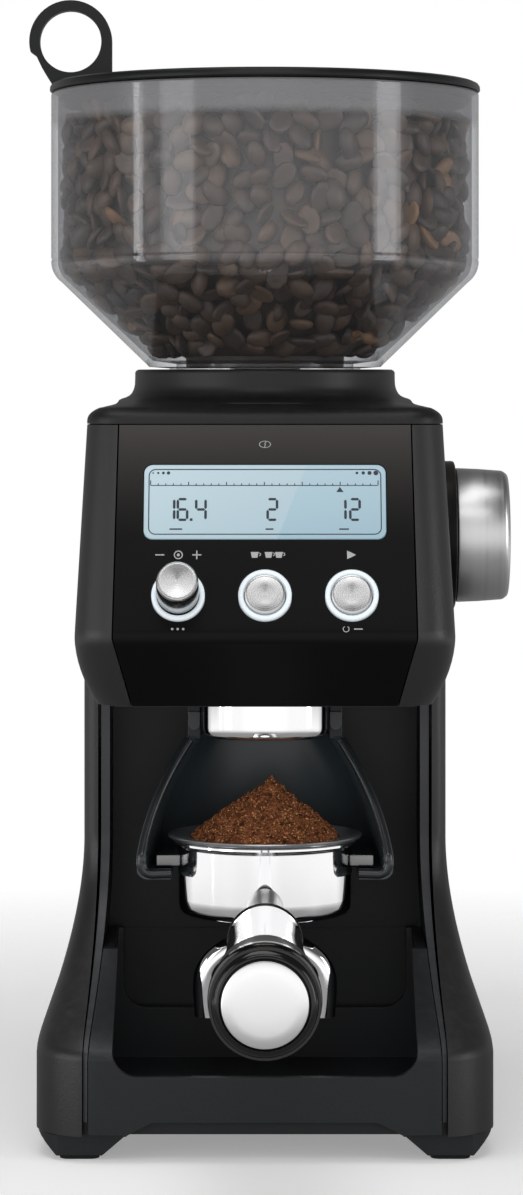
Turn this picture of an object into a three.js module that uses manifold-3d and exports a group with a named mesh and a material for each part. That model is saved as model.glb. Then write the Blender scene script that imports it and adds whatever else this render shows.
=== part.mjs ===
// Burr coffee grinder: a two-sided casing around a motor, gear train and conical burrs, with a bean
// hopper on top, a slide-out grinds tray and a filter holder docked in a cradle under the outlet.
// Millimetres, +Z up, front towards -Y. Inside this file the burr axis is x = 0, y = 0.

import * as THREE from 'three';
import { mergeVertices } from 'three/addons/utils/BufferGeometryUtils.js';
import Module from 'manifold-3d';

const wasm = await Module();
wasm.setup();

// ---- Driving dimensions -------------------------------------------------------------------------

// Clearances
const gap = 0.3; // between pieces that touch
const runningGap = 0.6; // around pieces that turn or slide

// Casing
const columnHalfWidth = 62.5;
const headHalfWidth = 63; // widest, at the crease
const headTopHalfWidth = 60;
const chinHalfWidth = 56;
const baseHalfWidth = 75.2;
const baseFront = -104;
const columnFront = -25;
const columnRear = 104;
const baseRear = 110;
const creaseFront = -90;
const headTopFront = -64;
const chinFront = -78;
const wall = 3;
const shellBottom = 8.6;
const baseEdge = 37; // top of the upright band round the base
const flareTop = 98;
const bayHeight = 109; // from the base edge to the underside of the head
const chinHeight = 23;
const panelHeight = 69.8;
const headBottom = baseEdge + bayHeight;
const crease = headBottom + chinHeight;
const casingTop = crease + panelHeight;
const sideSeam = 70; // where the side shells meet the rear cover

// Bay behind the filter holder
const linerHalfWidth = 56.5;
const linerBaseHalfWidth = 59;
const bayHalfWidth = 53.5;
const trayHalfWidth = 57.3;
const bayBack = 5;
const linerWall = 2.4;

// Hopper, collar and lid
const collarRadius = 45.6;
const collarTop = casingTop + 18.7;
const hopperRadius = 75;
const hopperFootRadius = 40.6;
const neckRadius = 33.5;
const hopperWall = 2.4;
const hopperHeight = 96; // foot to rim
const coneHeight = 31.5;
const neckDepth = 15;
const lidThickness = 3.4;
const lidSkirt = 5;
const loopRadius = 14.5;
const loopHoleRadius = 10.8;
const loopThickness = 5.5;
const beanDepth = 10.5; // from the rim down to the beans at the wall

// Front panel, measured up the slope from the crease
const panelHalfWidth = 49.8;
const panelTopHalfWidth = 48.6;
const panelSeam = 0.5;
const displayWidth = 80.4;
const displayHeight = 26;
const displayCentre = 47.5;
const buttonPitch = 28.6;
const buttonHeight = 15;
const buttonRadius = 6.75;
const ringRadius = 8.8;
const knobRadius = 7;
const knobLength = 14;

// Grind size dial
const dialRadius = 23.5;
const dialLength = 18.2;
const dialHeight = 199.4 - 238.8 + casingTop;
const bezelRadius = 26;
const bezelFace = 66.5;

// Gear train: motor pinion 12 : 36 idler, idler 14 : 42 burr drive gear
const stageOne = { module: 1, driver: 12, driven: 36 };
const stageTwo = { module: 1.25, driver: 14, driven: 42 };
const idlerY = (stageTwo.module * (stageTwo.driver + stageTwo.driven)) / 2;
const motorY = idlerY + (stageOne.module * (stageOne.driver + stageOne.driven)) / 2;
const gearWidth = 6;
const spurTooth = { addendum: 0.8, dedendum: 1.1, share: 0.21 };
const toothSlope = Math.tan(Math.PI / 9);
const motorRadius = 30;
const motorHeight = 70;
const shaftRadius = 5;

// Burrs and their height adjustment, by a pinion on the dial shaft under a crown of teeth
const burrRadius = 20;
const burrHeight = 20;
const housingRadius = 30;
const crown = { module: 1.5, pinion: 8, ring: 48 };
const crownTooth = { addendum: 0.7, dedendum: 1.05, share: 0.17 };
const crownPitchRadius = (crown.module * crown.ring) / 2;
const pinionPitchRadius = (crown.module * crown.pinion) / 2;

// Outlet, cradle and filter holder
const outletY = -45;
const shroudRadius = 21;
const shroudHeight = 12;
const rimRadius = 32.3;
const bowlRadius = 29.5;
const rimTop = 98.5;
const rimHeight = 5;
const bowlHeight = 25.5;
const bowlWall = 3;
const lugReach = 4.6;
const lugHalfLength = 9;
const lugHeight = 4;
const armWall = 3;
const handleEnd = -225;
const handleDrop = -1; // fall of the handle from the bowl to its end
const handleRadius = 16.95;
const capRadius = 13;
const spoutPitch = 39;
const spoutRadius = 4.4;
const spoutHeight = 35; // spout tips below the bowl
const plungerRadius = 5;

// Tray and feet
const trayBottom = 9.2;
const traySideTop = 62;
const trayFrontTop = 28;
const trayRearTop = 34;
const ledgeHeight = 60.6;
const trayWall = 3.4;
const trayBack = 0;
const plateThickness = 4;
const footBottom = 1.5;
const padThickness = 1.2;

// Sides of round pieces: the largest, the middling, and small or hidden ones
const fine = 40;
const medium = 28;
const coarse = 14;

// ---- Solids -------------------------------------------------------------------------------------

// A closed three.js geometry as a solid, with merged vertices and faces pointing out.
function solid(geometry) {
  const bare = new THREE.BufferGeometry();
  bare.setAttribute('position', geometry.getAttribute('position').clone());
  if (geometry.index) bare.setIndex(geometry.index.clone());
  const merged = mergeVertices(bare, 1e-4);
  const points = merged.getAttribute('position');
  const corners = [];
  let volume = 0;
  const a = new THREE.Vector3();
  const b = new THREE.Vector3();
  const c = new THREE.Vector3();
  for (let i = 0; i < merged.index.count; i += 3) {
    const [p, q, r] = [0, 1, 2].map((k) => merged.index.getX(i + k));
    if (p === q || q === r || r === p) continue;
    a.fromBufferAttribute(points, p);
    b.fromBufferAttribute(points, q);
    c.fromBufferAttribute(points, r);
    volume += a.dot(b.cross(c));
    corners.push(p, q, r);
  }
  if (volume < 0) corners.reverse();
  return new wasm.Manifold(
    new wasm.Mesh({
      numProp: 3,
      vertProperties: Float32Array.from(points.array),
      triVerts: Uint32Array.from(corners),
    }),
  );
}

function toGeometry(manifold) {
  const mesh = manifold.getMesh();
  const geometry = new THREE.BufferGeometry();
  geometry.setAttribute('position', new THREE.BufferAttribute(mesh.vertProperties, 3));
  geometry.setIndex(new THREE.BufferAttribute(mesh.triVerts, 1));
  return geometry;
}

function box(x0, x1, y0, y1, z0, z1) {
  const block = new THREE.BoxGeometry(x1 - x0, y1 - y0, z1 - z0);
  block.translate((x0 + x1) / 2, (y0 + y1) / 2, (z0 + z1) / 2);
  return solid(block);
}

// An upright cylinder or cone from z0 to z1.
function rod(radius, z0, z1, { x = 0, y = 0, topRadius = radius, sides = medium } = {}) {
  const round = new THREE.CylinderGeometry(topRadius, radius, z1 - z0, sides);
  round.rotateX(Math.PI / 2);
  round.translate(x, y, (z0 + z1) / 2);
  return solid(round);
}

// A body of revolution about Z from [radius, height] points.
function turned(profile, sides = fine) {
  const points = profile.map(([radius, height]) => new THREE.Vector2(radius, height));
  const lathe = new THREE.LatheGeometry(points, sides);
  lathe.rotateX(Math.PI / 2);
  return solid(lathe);
}

// The same for a ring, whose profile closes on itself.
function turnedRing(profile, sides = fine) {
  return turned([...profile, profile[0]], sides);
}

function roundedRect(width, height, radius) {
  const shape = new THREE.Shape();
  const x = width / 2 - radius;
  const y = height / 2 - radius;
  shape.absarc(x, -y, radius, -Math.PI / 2, 0);
  shape.absarc(x, y, radius, 0, Math.PI / 2);
  shape.absarc(-x, y, radius, Math.PI / 2, Math.PI);
  shape.absarc(-x, -y, radius, Math.PI, Math.PI * 1.5);
  return shape;
}

// A flat outline of [x, y] points, extruded from z0 to z1.
function slab(outline, z0, z1, curveSegments = 3) {
  const shape = Array.isArray(outline)
    ? new THREE.Shape(outline.map(([x, y]) => new THREE.Vector2(x, y)))
    : outline;
  const block = new THREE.ExtrudeGeometry(shape, { depth: z1 - z0, bevelEnabled: false, curveSegments });
  block.translate(0, 0, z0);
  return solid(block);
}

// An outline in the XZ plane, extruded from y0 back to y1.
function uprightSlab(outline, y0, y1, curveSegments = 4) {
  return slab(outline, -y1, -y0, curveSegments).rotate([90, 0, 0]);
}

// A solid through closed rings of points, each with the same number of points.
function loft(rings) {
  const count = rings[0].length;
  const points = rings.flat();
  const corners = [];
  const last = (rings.length - 1) * count;
  for (let i = 0; i < count; i += 1) {
    const j = (i + 1) % count;
    for (let base = 0; base < last; base += count) {
      corners.push(base + i, base + j, base + count + j, base + i, base + count + j, base + count + i);
    }
  }
  for (const [start, flip] of [[0, true], [last, false]]) {
    const middle = points.length;
    points.push(centreOf(points.slice(start, start + count)));
    for (let i = 0; i < count; i += 1) {
      const edge = [start + i, start + ((i + 1) % count)];
      corners.push(middle, ...(flip ? edge.reverse() : edge));
    }
  }
  const geometry = new THREE.BufferGeometry().setFromPoints(points);
  geometry.setIndex(corners);
  return solid(geometry);
}

function centreOf(points) {
  const sum = new THREE.Vector3();
  for (const point of points) sum.add(point);
  return sum.divideScalar(points.length);
}

// A rounded rectangle at one height, with its own radius at the front and at the rear corners.
function planRing({ half, front, rear, frontRadius, rearRadius }, z, arcSteps = 4) {
  const corners = [
    [half - frontRadius, front + frontRadius, frontRadius, -90],
    [half - rearRadius, rear - rearRadius, rearRadius, 0],
    [-half + rearRadius, rear - rearRadius, rearRadius, 90],
    [-half + frontRadius, front + frontRadius, frontRadius, 180],
  ];
  const ring = [];
  for (const [x, y, radius, start] of corners) {
    for (let i = 0; i <= arcSteps; i += 1) {
      const angle = THREE.MathUtils.degToRad(start + (90 * i) / arcSteps);
      ring.push(new THREE.Vector3(x + radius * Math.cos(angle), y + radius * Math.sin(angle), z));
    }
  }
  return ring;
}

function steps(from, to, count) {
  return Array.from({ length: count + 1 }, (_, i) => from + ((to - from) * i) / count);
}

// Outline of a spur gear, one tooth centred on toothAngle. Teeth are thinned for backlash: share is
// half a tooth's thickness as a part of the pitch.
function gearOutline(teeth, module, toothAngle, tooth = spurTooth) {
  const pitch = (teeth * module) / 2;
  const half = tooth.share * Math.PI * module;
  const halfAngle = (radius) => (half - (radius - pitch) * toothSlope) / radius;
  const root = pitch - tooth.dedendum * module;
  const tip = pitch + tooth.addendum * module;
  const outline = [];
  for (let i = 0; i < teeth; i += 1) {
    const centre = THREE.MathUtils.degToRad(toothAngle) + (i * 2 * Math.PI) / teeth;
    for (const [radius, side] of [[root, -1], [tip, -1], [tip, 1], [root, 1]]) {
      const angle = centre + side * halfAngle(radius);
      outline.push([radius * Math.cos(angle), radius * Math.sin(angle)]);
    }
  }
  return outline;
}

function union(...solids) {
  return solids.reduce((all, next) => all.add(next));
}

function mirrored(piece) {
  return piece.mirror([1, 0, 0]);
}

// ---- The assembly -------------------------------------------------------------------------------

const grinder = new THREE.Group();

const finishes = {
  blackShell: { color: 0x2c2d2f, roughness: 0.55, metalness: 0 },
  panelBlack: { color: 0x16171a, roughness: 0.4, metalness: 0 },
  baseGrey: { color: 0x3e4245, roughness: 0.6, metalness: 0 },
  trimGrey: { color: 0x4c5055, roughness: 0.5, metalness: 0 },
  bayBlack: { color: 0x0d0e10, roughness: 0.7, metalness: 0 },
  cradleBlack: { color: 0x14181b, roughness: 0.5, metalness: 0 },
  rubber: { color: 0x1a1a1a, roughness: 0.9, metalness: 0 },
  smoke: { color: 0x4a4d50, roughness: 0.1, metalness: 0 },
  lidBlack: { color: 0x23282a, roughness: 0.35, metalness: 0 },
  bean: { color: 0x3a2a1e, roughness: 0.6, metalness: 0 },
  grounds: { color: 0x4d3022, roughness: 0.95, metalness: 0 },
  chrome: { color: 0xe4e6e8, roughness: 0.08, metalness: 1 },
  brushed: { color: 0xb8babd, roughness: 0.3, metalness: 1 },
  steel: { color: 0x9a9ca0, roughness: 0.35, metalness: 1 },
  gearBrass: { color: 0xb59a5a, roughness: 0.4, metalness: 1 },
  nylon: { color: 0xd8d4c8, roughness: 0.5, metalness: 0 },
  light: { color: 0xf4f6f8, roughness: 0.4, metalness: 0 },
  display: { color: 0xa9c4cf, roughness: 0.15, metalness: 0 },
  board: { color: 0x1f5a35, roughness: 0.6, metalness: 0 },
  grip: { color: 0x151617, roughness: 0.45, metalness: 0 },
};

function add(name, piece, finish, parent = grinder) {
  const geometry = toGeometry(piece);
  const mesh = new THREE.Mesh(geometry, new THREE.MeshStandardMaterial(finishes[finish]));
  mesh.name = name;
  parent.add(mesh);
  return mesh;
}

// ---- Casing -------------------------------------------------------------------------------------

// 0 where the flare meets the column, 1 at the top edge of the base.
function flare(z) {
  return THREE.MathUtils.clamp((flareTop - z) / (flareTop - baseEdge), 0, 1) ** 2;
}

function columnPlan(z, inset) {
  const spread = flare(z);
  return {
    half: THREE.MathUtils.lerp(columnHalfWidth, baseHalfWidth, spread) - inset,
    front: THREE.MathUtils.lerp(columnFront, baseFront, spread) + inset,
    rear: THREE.MathUtils.lerp(columnRear, baseRear, spread) - inset,
    frontRadius: THREE.MathUtils.lerp(5, 21, Math.sqrt(spread)) - inset,
    rearRadius: 26 - inset,
  };
}

function headPlan(z, inset) {
  const up = THREE.MathUtils.clamp((z - crease) / panelHeight, 0, 1);
  const down = THREE.MathUtils.clamp((crease - z) / chinHeight, 0, 1);
  const half = z > crease
    ? THREE.MathUtils.lerp(headHalfWidth, headTopHalfWidth, up)
    : THREE.MathUtils.lerp(headHalfWidth, chinHalfWidth, down ** 2);
  const front = z > crease
    ? THREE.MathUtils.lerp(creaseFront, headTopFront, up)
    : THREE.MathUtils.lerp(creaseFront, chinFront, down);
  return {
    half: half - inset,
    front: front + inset,
    rear: columnRear - inset,
    frontRadius: 12 - inset,
    rearRadius: 26 - inset,
  };
}

const flareLevels = steps(baseEdge, flareTop, 6);
const chinLevels = steps(headBottom, crease, 3);

// The casing's outer form, or the same form inset by a wall and open above and below.
function columnForm(inset, below = 0) {
  const levels = [shellBottom - below, ...flareLevels, crease];
  return loft(levels.map((z) => planRing(columnPlan(z, inset), z)));
}

function headForm(inset, reach = 0) {
  const rings = [...chinLevels, casingTop].map((z) => planRing(headPlan(z, inset), z));
  if (reach > 0) {
    rings.unshift(planRing(headPlan(headBottom, inset), headBottom - reach));
    rings.push(planRing(headPlan(casingTop, inset), casingTop + reach));
  }
  return loft(rings);
}

// Half-width of the bay, tray and liner: constant above the flare, wider at the base.
function widening(z, columnValue, baseValue) {
  return THREE.MathUtils.lerp(columnValue, baseValue, flare(z));
}

// A tall block whose half-width follows the flare, from front to rear, between two heights.
function flaredBlock(columnValue, baseValue, front, rear, bottom, top) {
  const inside = flareLevels.filter((z) => z > bottom + 1 && z < top - 1);
  const levels = [bottom, ...inside, top];
  return loft(
    levels.map((z) => {
      const half = widening(z, columnValue, baseValue);
      return [
        new THREE.Vector3(half, front, z),
        new THREE.Vector3(half, rear, z),
        new THREE.Vector3(-half, rear, z),
        new THREE.Vector3(-half, front, z),
      ];
    }),
  );
}

const farFront = baseFront - 100;
const outerForm = union(columnForm(0), headForm(0));
const innerForm = union(
  columnForm(wall, wall),
  headForm(wall, wall),
  flaredBlock(linerHalfWidth + 1, linerBaseHalfWidth + gap, farFront, bayBack + 20, 0, headBottom),
);
const skin = outerForm.subtract(innerForm);

// The wedge of the head's front that the panel fills, with its seam opened by extra.
function panelWedge(extra) {
  const rows = [
    [headBottom - 5, panelHalfWidth - 6],
    [headBottom, panelHalfWidth - 6],
    [crease, panelHalfWidth],
    [casingTop + 5, panelTopHalfWidth],
  ];
  return loft(
    rows.map(([z, half]) => [
      new THREE.Vector3(half + extra, farFront, z),
      new THREE.Vector3(half + extra, headTopFront + wall + 8, z),
      new THREE.Vector3(-half - extra, headTopFront + wall + 8, z),
      new THREE.Vector3(-half - extra, farFront, z),
    ]),
  );
}

// The panel's own frame: x across, y up the slope from the crease, z out of the panel.
const panelLean = Math.atan2(headTopFront - creaseFront, panelHeight);
const panelFrame = new THREE.Group();
panelFrame.position.set(0, creaseFront, crease);
panelFrame.rotation.x = Math.PI / 2 - panelLean;
grinder.add(panelFrame);

function onPanel(piece) {
  return piece
    .rotate([THREE.MathUtils.radToDeg(panelFrame.rotation.x), 0, 0])
    .translate(panelFrame.position.toArray());
}

const dialBoreRadius = 6;

function dialAxisRod(radius, x0, x1, options = {}) {
  return rod(radius, x0, x1, options).rotate([0, 90, 0]).translate([0, 0, dialHeight]);
}

const glandHeight = 52;

function rearAxisRod(radius, y0, y1, z, options = {}) {
  return rod(radius, -y1, -y0, options).rotate([90, 0, 0]).translate([0, 0, z]);
}

function makeCasing() {
  const far = 400;
  const sides = skin
    .subtract(panelWedge(panelSeam))
    .subtract(box(-far, far, sideSeam - gap, far, -far, far))
    .subtract(dialAxisRod(dialBoreRadius, 0, far));
  add('left_side_shell', sides.intersect(box(-far, -1, -far, far, -far, far)), 'blackShell');
  add('right_side_shell', sides.intersect(box(1, far, -far, far, -far, far)), 'blackShell');

  let rear = skin
    .intersect(box(-far, far, sideSeam, far, -far, far))
    .subtract(rearAxisRod(9, sideSeam, far, glandHeight, { sides: coarse }));
  const slotPitch = 7;
  for (let row = 0; row < 6; row += 1) {
    const z = crease - 14 - row * slotPitch;
    rear = rear.subtract(box(-30, 30, sideSeam + wall, far, z, z + 2.6));
  }
  add('rear_cover', rear, 'blackShell');

  const holes = [
    onPanel(slab(roundedRect(displayWidth + 2 * gap, displayHeight + 2 * gap, 3 + gap), -8, 8)
      .translate([0, displayCentre, 0])),
    ...[-1, 0, 1].map((side) =>
      onPanel(rod(ringRadius + gap, -8, 8, { x: side * buttonPitch, y: buttonHeight })),
    ),
  ];
  let panel = skin.intersect(panelWedge(0));
  for (const hole of holes) panel = panel.subtract(hole);
  add('front_panel', panel, 'panelBlack');
}

// ---- Top cover ----------------------------------------------------------------------------------

// Where a ray from the burr axis leaves the casing's top outline, and a round ring to blend with it.
function coverRing(inset, roundRadius, blend, z) {
  const plan = planRing(headPlan(casingTop, inset), z, 6);
  return plan.map((point) => {
    const round = new THREE.Vector3(point.x, point.y, 0).normalize().multiplyScalar(roundRadius);
    return new THREE.Vector3(
      THREE.MathUtils.lerp(point.x, round.x, blend),
      THREE.MathUtils.lerp(point.y, round.y, blend),
      z,
    );
  });
}

function coverForm(inset, drop) {
  const edge = casingTop + gap;
  return loft([
    coverRing(inset, 0, 0, edge - drop),
    coverRing(inset, 0, 0, edge + 1.4 - drop * 0.5),
    coverRing(inset + 1.6, 0, 0, edge + 3.2 - drop),
    coverRing(inset + 5, 0, 0, edge + 4.6 - drop),
    coverRing(inset, collarRadius + 14, 0.8, edge + 5.4 - drop),
    coverRing(inset, collarRadius + 9.4 - drop, 1, edge + 7.5 - drop),
    coverRing(inset, collarRadius - drop, 1, edge + 12 - drop),
    coverRing(inset, collarRadius - drop, 1, collarTop - 1.2 - drop),
    coverRing(inset, collarRadius - 1.2 - drop, 1, collarTop - drop),
  ]);
}

function makeTopCover() {
  const socketWall = 2.6;
  const boreRadius = neckRadius + runningGap;
  const socket = rod(boreRadius + socketWall, collarTop - neckDepth, collarTop - 1, { sides: fine });
  const shell = coverForm(0, 0).subtract(coverForm(wall, wall));
  const bore = rod(boreRadius, casingTop - 20, collarTop + 1, { sides: fine });
  add('top_cover', shell.add(socket).subtract(bore), 'blackShell');
}

// ---- Bay liner, tray and base -------------------------------------------------------------------

const plateBottom = shellBottom + gap;
const plateTop = plateBottom + plateThickness;

// The plan outline at the foot of the casing as an upright block.
function basePlan(inset, z0, z1) {
  const plan = columnPlan(shellBottom, inset);
  return loft([planRing(plan, z0), planRing(plan, z1)]);
}

const plungerHeight = rimTop - 2;

function makeBayLiner() {
  const linerFront = 1.2;
  const rear = bayBack + linerWall;
  const liner = flaredBlock(linerHalfWidth, linerBaseHalfWidth, farFront, rear, plateTop + gap, headBottom)
    .intersect(columnForm(linerFront))
    .subtract(flaredBlock(bayHalfWidth, trayHalfWidth + gap, farFront, bayBack, 0, headBottom + 1));
  const ceilingPlan = { ...headPlan(headBottom, wall + gap), rear, rearRadius: 4 };
  const ceiling = loft([planRing(ceilingPlan, headBottom - 0.5), planRing(ceilingPlan, headBottom + 2)]);
  const opening = box(-13, 13, outletY - 12.5, outletY + 12.5, headBottom - 9, headBottom + 9);
  const bore = rearAxisRod(plungerRadius + runningGap, -50, 50, plungerHeight, { sides: coarse });
  const ledge = box(-bayHalfWidth, bayHalfWidth, 0, bayBack + 0.6, ledgeHeight, ledgeHeight + 0.8);
  add('bay_liner', union(liner, ceiling).subtract(opening).subtract(bore).subtract(ledge), 'bayBlack');
}

function makeTray() {
  const half = (inset) => {
    const column = bayHalfWidth - gap - inset;
    return flaredBlock(column, trayHalfWidth - inset, farFront, trayBack - inset, 0, traySideTop + 20);
  };
  const upright = box(-200, 200, farFront, 200, trayBottom, traySideTop);
  const outer = half(0).intersect(columnForm(0)).intersect(upright);
  const hollow = half(trayWall)
    .intersect(columnForm(trayWall, 20))
    .subtract(box(-200, 200, farFront, 200, -50, plateTop + gap + trayWall));
  const notchHalf = bayHalfWidth - trayWall - 0.6;
  const notchHeight = 2 * (traySideTop - trayFrontTop);
  const notchOutline = roundedRect(2 * notchHalf, notchHeight, 8);
  const middle = baseFront + 75;
  const centre = notchHeight / 2;
  const notch = uprightSlab(notchOutline, farFront, middle).translate([0, 0, trayFrontTop + centre]);
  const rearNotch = uprightSlab(notchOutline, middle - 1, 50).translate([0, 0, trayRearTop + centre]);
  const underside = box(-200, 200, baseFront + trayWall, 200, -50, plateTop + gap);
  const recessHeight = 4;
  const recess = uprightSlab(
    [[-44.6, trayBottom - 1], [44.6, trayBottom - 1], [44.6, trayBottom],
      [36.6, trayBottom + recessHeight], [-36.6, trayBottom + recessHeight], [-44.6, trayBottom]],
    farFront, baseFront + trayWall + 1,
  );
  let tray = outer.subtract(hollow);
  for (const opening of [notch, rearNotch, underside, recess]) tray = tray.subtract(opening);
  add('grinds_tray', tray, 'baseGrey');
}

function makeBase() {
  const plate = basePlan(wall + gap, plateBottom, plateTop)
    .subtract(box(-200, 200, farFront, baseFront + trayWall + gap, 0, 50));
  const foot = { topInner: 45, bottomOuter: 68, bottomInner: 53, length: 20, front: -98, rear: 98 };
  const outside = baseHalfWidth;
  const trapezium = [
    [-outside, shellBottom - gap], [-foot.bottomOuter, footBottom],
    [-foot.bottomInner, footBottom], [-foot.topInner, shellBottom - gap],
  ];
  const neck = [[-outside, shellBottom - 1], [-foot.topInner, shellBottom - 1],
    [-foot.topInner, plateBottom + 1], [-outside, plateBottom + 1]];
  let chassis = plate;
  const names = [];
  for (const [end, y0] of [['front', foot.front], ['rear', foot.rear - foot.length]]) {
    const block = uprightSlab(trapezium, y0, y0 + foot.length).intersect(basePlan(0.7, 0, 20));
    const join = uprightSlab(neck, y0, y0 + foot.length).intersect(basePlan(wall + gap, 0, 20));
    const left = union(block, join);
    chassis = union(chassis, left, mirrored(left));
    names.push([end, y0]);
  }
  add('base_chassis', chassis, 'baseGrey');

  const padWidth = foot.bottomOuter - foot.bottomInner - 2;
  const padLength = foot.length - 4;
  for (const [side, sign] of [['left', -1], ['right', 1]]) {
    for (const [end, y0] of names) {
      const pad = slab(roundedRect(padWidth, padLength, 3), 0, padThickness)
        .translate([(sign * (foot.bottomOuter + foot.bottomInner)) / 2, y0 + foot.length / 2, 0]);
      add(`foot_pad_${end}_${side}`, pad, 'rubber');
    }
  }
}

// ---- Hopper and lid -----------------------------------------------------------------------------

const hopperFoot = collarTop + 0.9;
const hopperRim = hopperFoot + hopperHeight;

// The hopper's outside or inside, from the neck up to the rim.
function hopperProfile(inset) {
  const radius = hopperRadius - inset;
  const wallStart = hopperFoot + coneHeight + 5.5;
  const curve = [60, 40, 20, 0].map((degrees) => {
    const angle = THREE.MathUtils.degToRad(degrees);
    return [radius - 8 + 8 * Math.cos(angle), wallStart - 8 * Math.sin(angle)];
  });
  return [[hopperFootRadius - inset * 0.5, hopperFoot + inset * 0.9], ...curve];
}

function makeHopper() {
  const outer = hopperProfile(0);
  const inner = hopperProfile(hopperWall);
  const neckBottom = collarTop - neckDepth;
  const hopper = turnedRing([
    [neckRadius, neckBottom],
    [neckRadius, hopperFoot - 0.5],
    ...outer,
    [hopperRadius, hopperRim],
    [hopperRadius - hopperWall, hopperRim],
    ...inner.reverse(),
    [neckRadius - hopperWall, hopperFoot + 1],
    [neckRadius - hopperWall, neckBottom],
  ], fine);
  add('hopper', hopper, 'smoke');

  const gateRadius = neckRadius - hopperWall - runningGap;
  const gateTop = collarTop - 6;
  let gate = rod(gateRadius, gateTop - 2.4, gateTop, { sides: medium });
  const windowOutline = [[4, -14], [gateRadius - 4, -10], [gateRadius - 4, 10], [4, 14]];
  for (const angle of [0, 180]) {
    const window = slab(windowOutline, gateTop - 6, gateTop + 6);
    gate = gate.subtract(window.rotate([0, 0, angle]));
  }
  const lockRadius = 13;
  const lockTop = gateTop + 34;
  const lock = union(
    rod(lockRadius, gateTop + gap, gateTop + 14, { topRadius: lockRadius - 2 }),
    box(-3, 3, -lockRadius + 3, lockRadius - 3, gateTop + 13, lockTop),
  );
  add('hopper_gate', gate, 'nylon');
  add('hopper_lock_knob', lock, 'lidBlack');

  const beanTop = hopperRim - beanDepth;
  const beanInset = hopperWall + 0.5;
  const beanRadius = hopperRadius - beanInset;
  const beans = turned([
    [0, lockTop + 3],
    [lockRadius + 3, lockTop + 1],
    [lockRadius + 3, gateTop + 6],
    [neckRadius - beanInset - 1, gateTop + 6],
    [neckRadius - beanInset - 1, hopperFoot + 1.8],
    ...hopperProfile(beanInset + 0.4).map(([r, z]) => [r, z + 0.8]),
    [beanRadius, beanTop - 2],
    [beanRadius - 4, beanTop],
    [beanRadius * 0.5, beanTop + 3],
    [0, beanTop + 4],
  ], medium);
  add('bean_fill', beans, 'bean');

  const lidBottom = hopperRim + gap;
  const lidTop = lidBottom + lidThickness;
  const skirtRadius = hopperRadius - hopperWall - 2;
  const cap = turned([
    [0, lidTop - 1],
    [0, lidTop + 0.6],
    [hopperRadius * 0.6, lidTop + 0.4],
    [hopperRadius - 1, lidTop - 0.4],
    [hopperRadius + 0.5, lidTop - 1.6],
    [hopperRadius + 0.5, lidBottom],
    [skirtRadius, lidBottom],
    [skirtRadius, lidBottom - lidSkirt],
    [skirtRadius - 2.4, lidBottom - lidSkirt],
    [skirtRadius - 2.4, lidTop - 2.6],
    [0, lidTop - 2.2],
  ], fine);
  const loopX = -(hopperRadius + 7.7 - loopRadius);
  const loopZ = lidTop + loopRadius;
  const loopOutline = new THREE.Shape();
  loopOutline.moveTo(loopX + loopRadius, lidTop - 1);
  loopOutline.absarc(loopX, loopZ, loopRadius, 0, Math.PI * 1.08);
  loopOutline.quadraticCurveTo(-hopperRadius - 2, lidTop + 3, -hopperRadius + 0.6, lidTop - 1);
  const finger = rod(loopHoleRadius, -20, 20, { sides: 28 }).rotate([90, 0, 0]).translate([loopX, 0, loopZ]);
  const loop = uprightSlab(loopOutline, -loopThickness / 2, loopThickness / 2, 18).subtract(finger);
  add('lid', union(cap, loop), 'lidBlack');

  const sealRadius = 0.75;
  const sealCentre = skirtRadius + gap + sealRadius;
  const seal = new THREE.TorusGeometry(sealCentre, sealRadius, 5, 36);
  seal.translate(0, 0, lidBottom - 2.4);
  add('lid_seal', solid(seal), 'rubber');
}

// ---- Front panel fittings -----------------------------------------------------------------------

function makePanelFittings() {
  const lens = slab(roundedRect(displayWidth, displayHeight, 3), -2, -0.3).translate([0, displayCentre, 0]);
  add('display_lens', lens, 'display', panelFrame);
  const moduleOutline = roundedRect(displayWidth - 4, displayHeight + 6, 1);
  const module = slab(moduleOutline, -7, -3.6).translate([0, displayCentre, 0]);
  add('display_module', module, 'board', panelFrame);
  const board = box(-42, 42, 4, 62, -13.6, -12);
  add('control_board', board, 'board', panelFrame);

  const names = ['amount', 'shots', 'start'];
  names.forEach((name, index) => {
    const x = (index - 1) * buttonPitch;
    const ring = turnedRing([
      [buttonRadius + runningGap / 2, -2.6],
      [ringRadius, -2.6],
      [ringRadius, 0.2],
      [ringRadius - 0.8, 0.8],
      [buttonRadius + runningGap / 2, 0.8],
    ], medium);
    add(`${name}_light_ring`, ring.translate([x, buttonHeight, 0]), 'light', panelFrame);
    if (name === 'amount') return;
    const button = turned([[0, -9], [2, -9], [2, -2.4], [buttonRadius, -2.4], [buttonRadius, 0.9],
      [buttonRadius - 0.7, 1.5], [0, 1.7]], medium);
    add(`${name}_button`, button.translate([x, buttonHeight, 0]), 'brushed', panelFrame);
  });

  const stem = { x: -buttonPitch, y: buttonHeight, sides: coarse };
  const shaft = union(rod(2.6, -9, 12, stem), rod(4.4, -8, -6.6, stem));
  add('knob_shaft', shaft, 'steel', panelFrame);
  const knobEnd = 1.9 + knobLength;
  const knob = turned([
    [0, 12.3],
    [2.9, 12.3],
    [2.9, 2.1],
    [knobRadius, 2.1],
    [knobRadius, knobEnd - 0.9],
    [knobRadius - 0.9, knobEnd],
    [0, knobEnd + 0.2],
  ], medium);
  add('amount_knob', knob.translate([stem.x, stem.y, 0]), 'brushed', panelFrame);
  const encoder = slab(roundedRect(12, 12, 1), -11.7, -10.6).translate([stem.x, stem.y, 0]);
  add('knob_encoder', encoder, 'bayBlack', panelFrame);
}

// ---- Grind size dial and the crown it turns -----------------------------------------------------

const crownPlane = dialHeight + pinionPitchRadius;

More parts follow.
